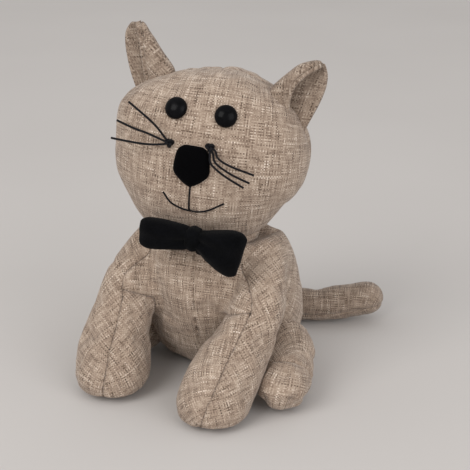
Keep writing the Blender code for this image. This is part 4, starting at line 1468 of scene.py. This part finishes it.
def bow_tab():
    """The strip of folded cotton that sews the bow to the chest, flat and a little wavy."""
    rows = smooth_through([(*point, *TAB_HALF) for point in TAB_ENDS], 12)
    rows[:, 3] += 0.25 * np.sin(np.arange(len(rows)) * 1.3)
    bm = bmesh.new()
    add_skin(bm, rows, np.gradient(rows[:, :3], axis=0), 24)
    bmesh.ops.scale(bm, vec=(MM, MM, MM), verts=bm.verts)
    uv = bm.loops.layers.uv.verify()
    for face in bm.faces:
        for loop in face.loops:
            loop[uv].uv = (loop.vert.co.x, loop.vert.co.z)
    return make_piece("bow_tab_cloth", bm, cotton)


wings = [bow_wing("bow_wing_cloth_left", "left", 1), bow_wing("bow_wing_cloth_right", "right", -1)]
bow_nodes = ("bow_wing_left", "bow_wing_right", "bow_wrap", "bow_tab")
for piece, node in zip((*wings, bow_wrap(), bow_tab()), bow_nodes):
    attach(piece, "torso")
    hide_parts(node)
print("bow tie ready")

# %% [markdown]
# Between the body and the head there is a short sleeve of the same cloth. It turns with the neck, and hides
# the inside when the head nods or turns.

# %% Neck
NECK_RINGS = (
    (0, -20, 97, 26, 21), (0, -20, 101, 31, 26), (0, -20, 106, 35, 29), (0, -20, 112, 33, 28),
    (0, -20, 116, 26, 22),
)
rows = smooth_through(NECK_RINGS, 12)
bm = bmesh.new()
add_skin(bm, rows, [(0, 0, 1)] * len(rows), 48)
uv = bm.loops.layers.uv.verify()
bmesh.ops.scale(bm, vec=(MM, MM, MM), verts=bm.verts)
for face in bm.faces:
    for loop in face.loops:
        place = loop.vert.co
        loop[uv].uv = (math.atan2(place.x, -place.y - 0.02) * 0.033, place.z)
neck = make_piece("neck_cloth", bm, linen)
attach(neck, "neck")
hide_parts("neck_stuffing")
print("neck ready")

# %% [markdown]
# The cat sits on a plain pale floor that runs back out of sight. One large soft light stands high on the
# left of the camera, a weaker one on the right, and a bright even world fills the shadows.

# %% Floor and light
bpy.ops.mesh.primitive_plane_add(size=8)
floor = bpy.context.object
floor.name = "floor"
backdrop = Nodes("floor_paper")
tone = backdrop.ramp(backdrop.noise(backdrop.coordinates("Object"), 3.0, 2.0),
                     [(0.3, (0.560, 0.537, 0.522)), (0.7, (0.580, 0.557, 0.542))])
floor.data.materials.append(backdrop.finish(tone, 0.85, Specular_IOR_Level=0.2))

world = bpy.data.worlds.new("studio")
scene.world = world
world.use_nodes = True
world.node_tree.nodes["Background"].inputs[0].default_value = (1.0, 0.985, 0.97, 1)
world.node_tree.nodes["Background"].inputs[1].default_value = 0.66

LIGHTS = (
    ("key", (-1.1, -2.3, 2.0), 1.8, 46.0, (1.0, 0.985, 0.965)),
    ("fill", (2.4, -1.6, 1.3), 2.2, 34.0, (0.99, 0.99, 1.0)),
)
for name, place, size, energy, colour in LIGHTS:
    light = bpy.data.lights.new(name, "AREA")
    light.size, light.energy, light.color = size, energy, colour
    lamp = bpy.data.objects.new(name, light)
    lamp.location = place
    lamp.rotation_euler = (Vector(place) - Vector((0, -0.03, 0.1))).to_track_quat("Z", "Y").to_euler()
    scene.collection.objects.link(lamp)
scene.view_settings.view_transform = "Standard"
print("lit by", len(LIGHTS), "lamps and the world")
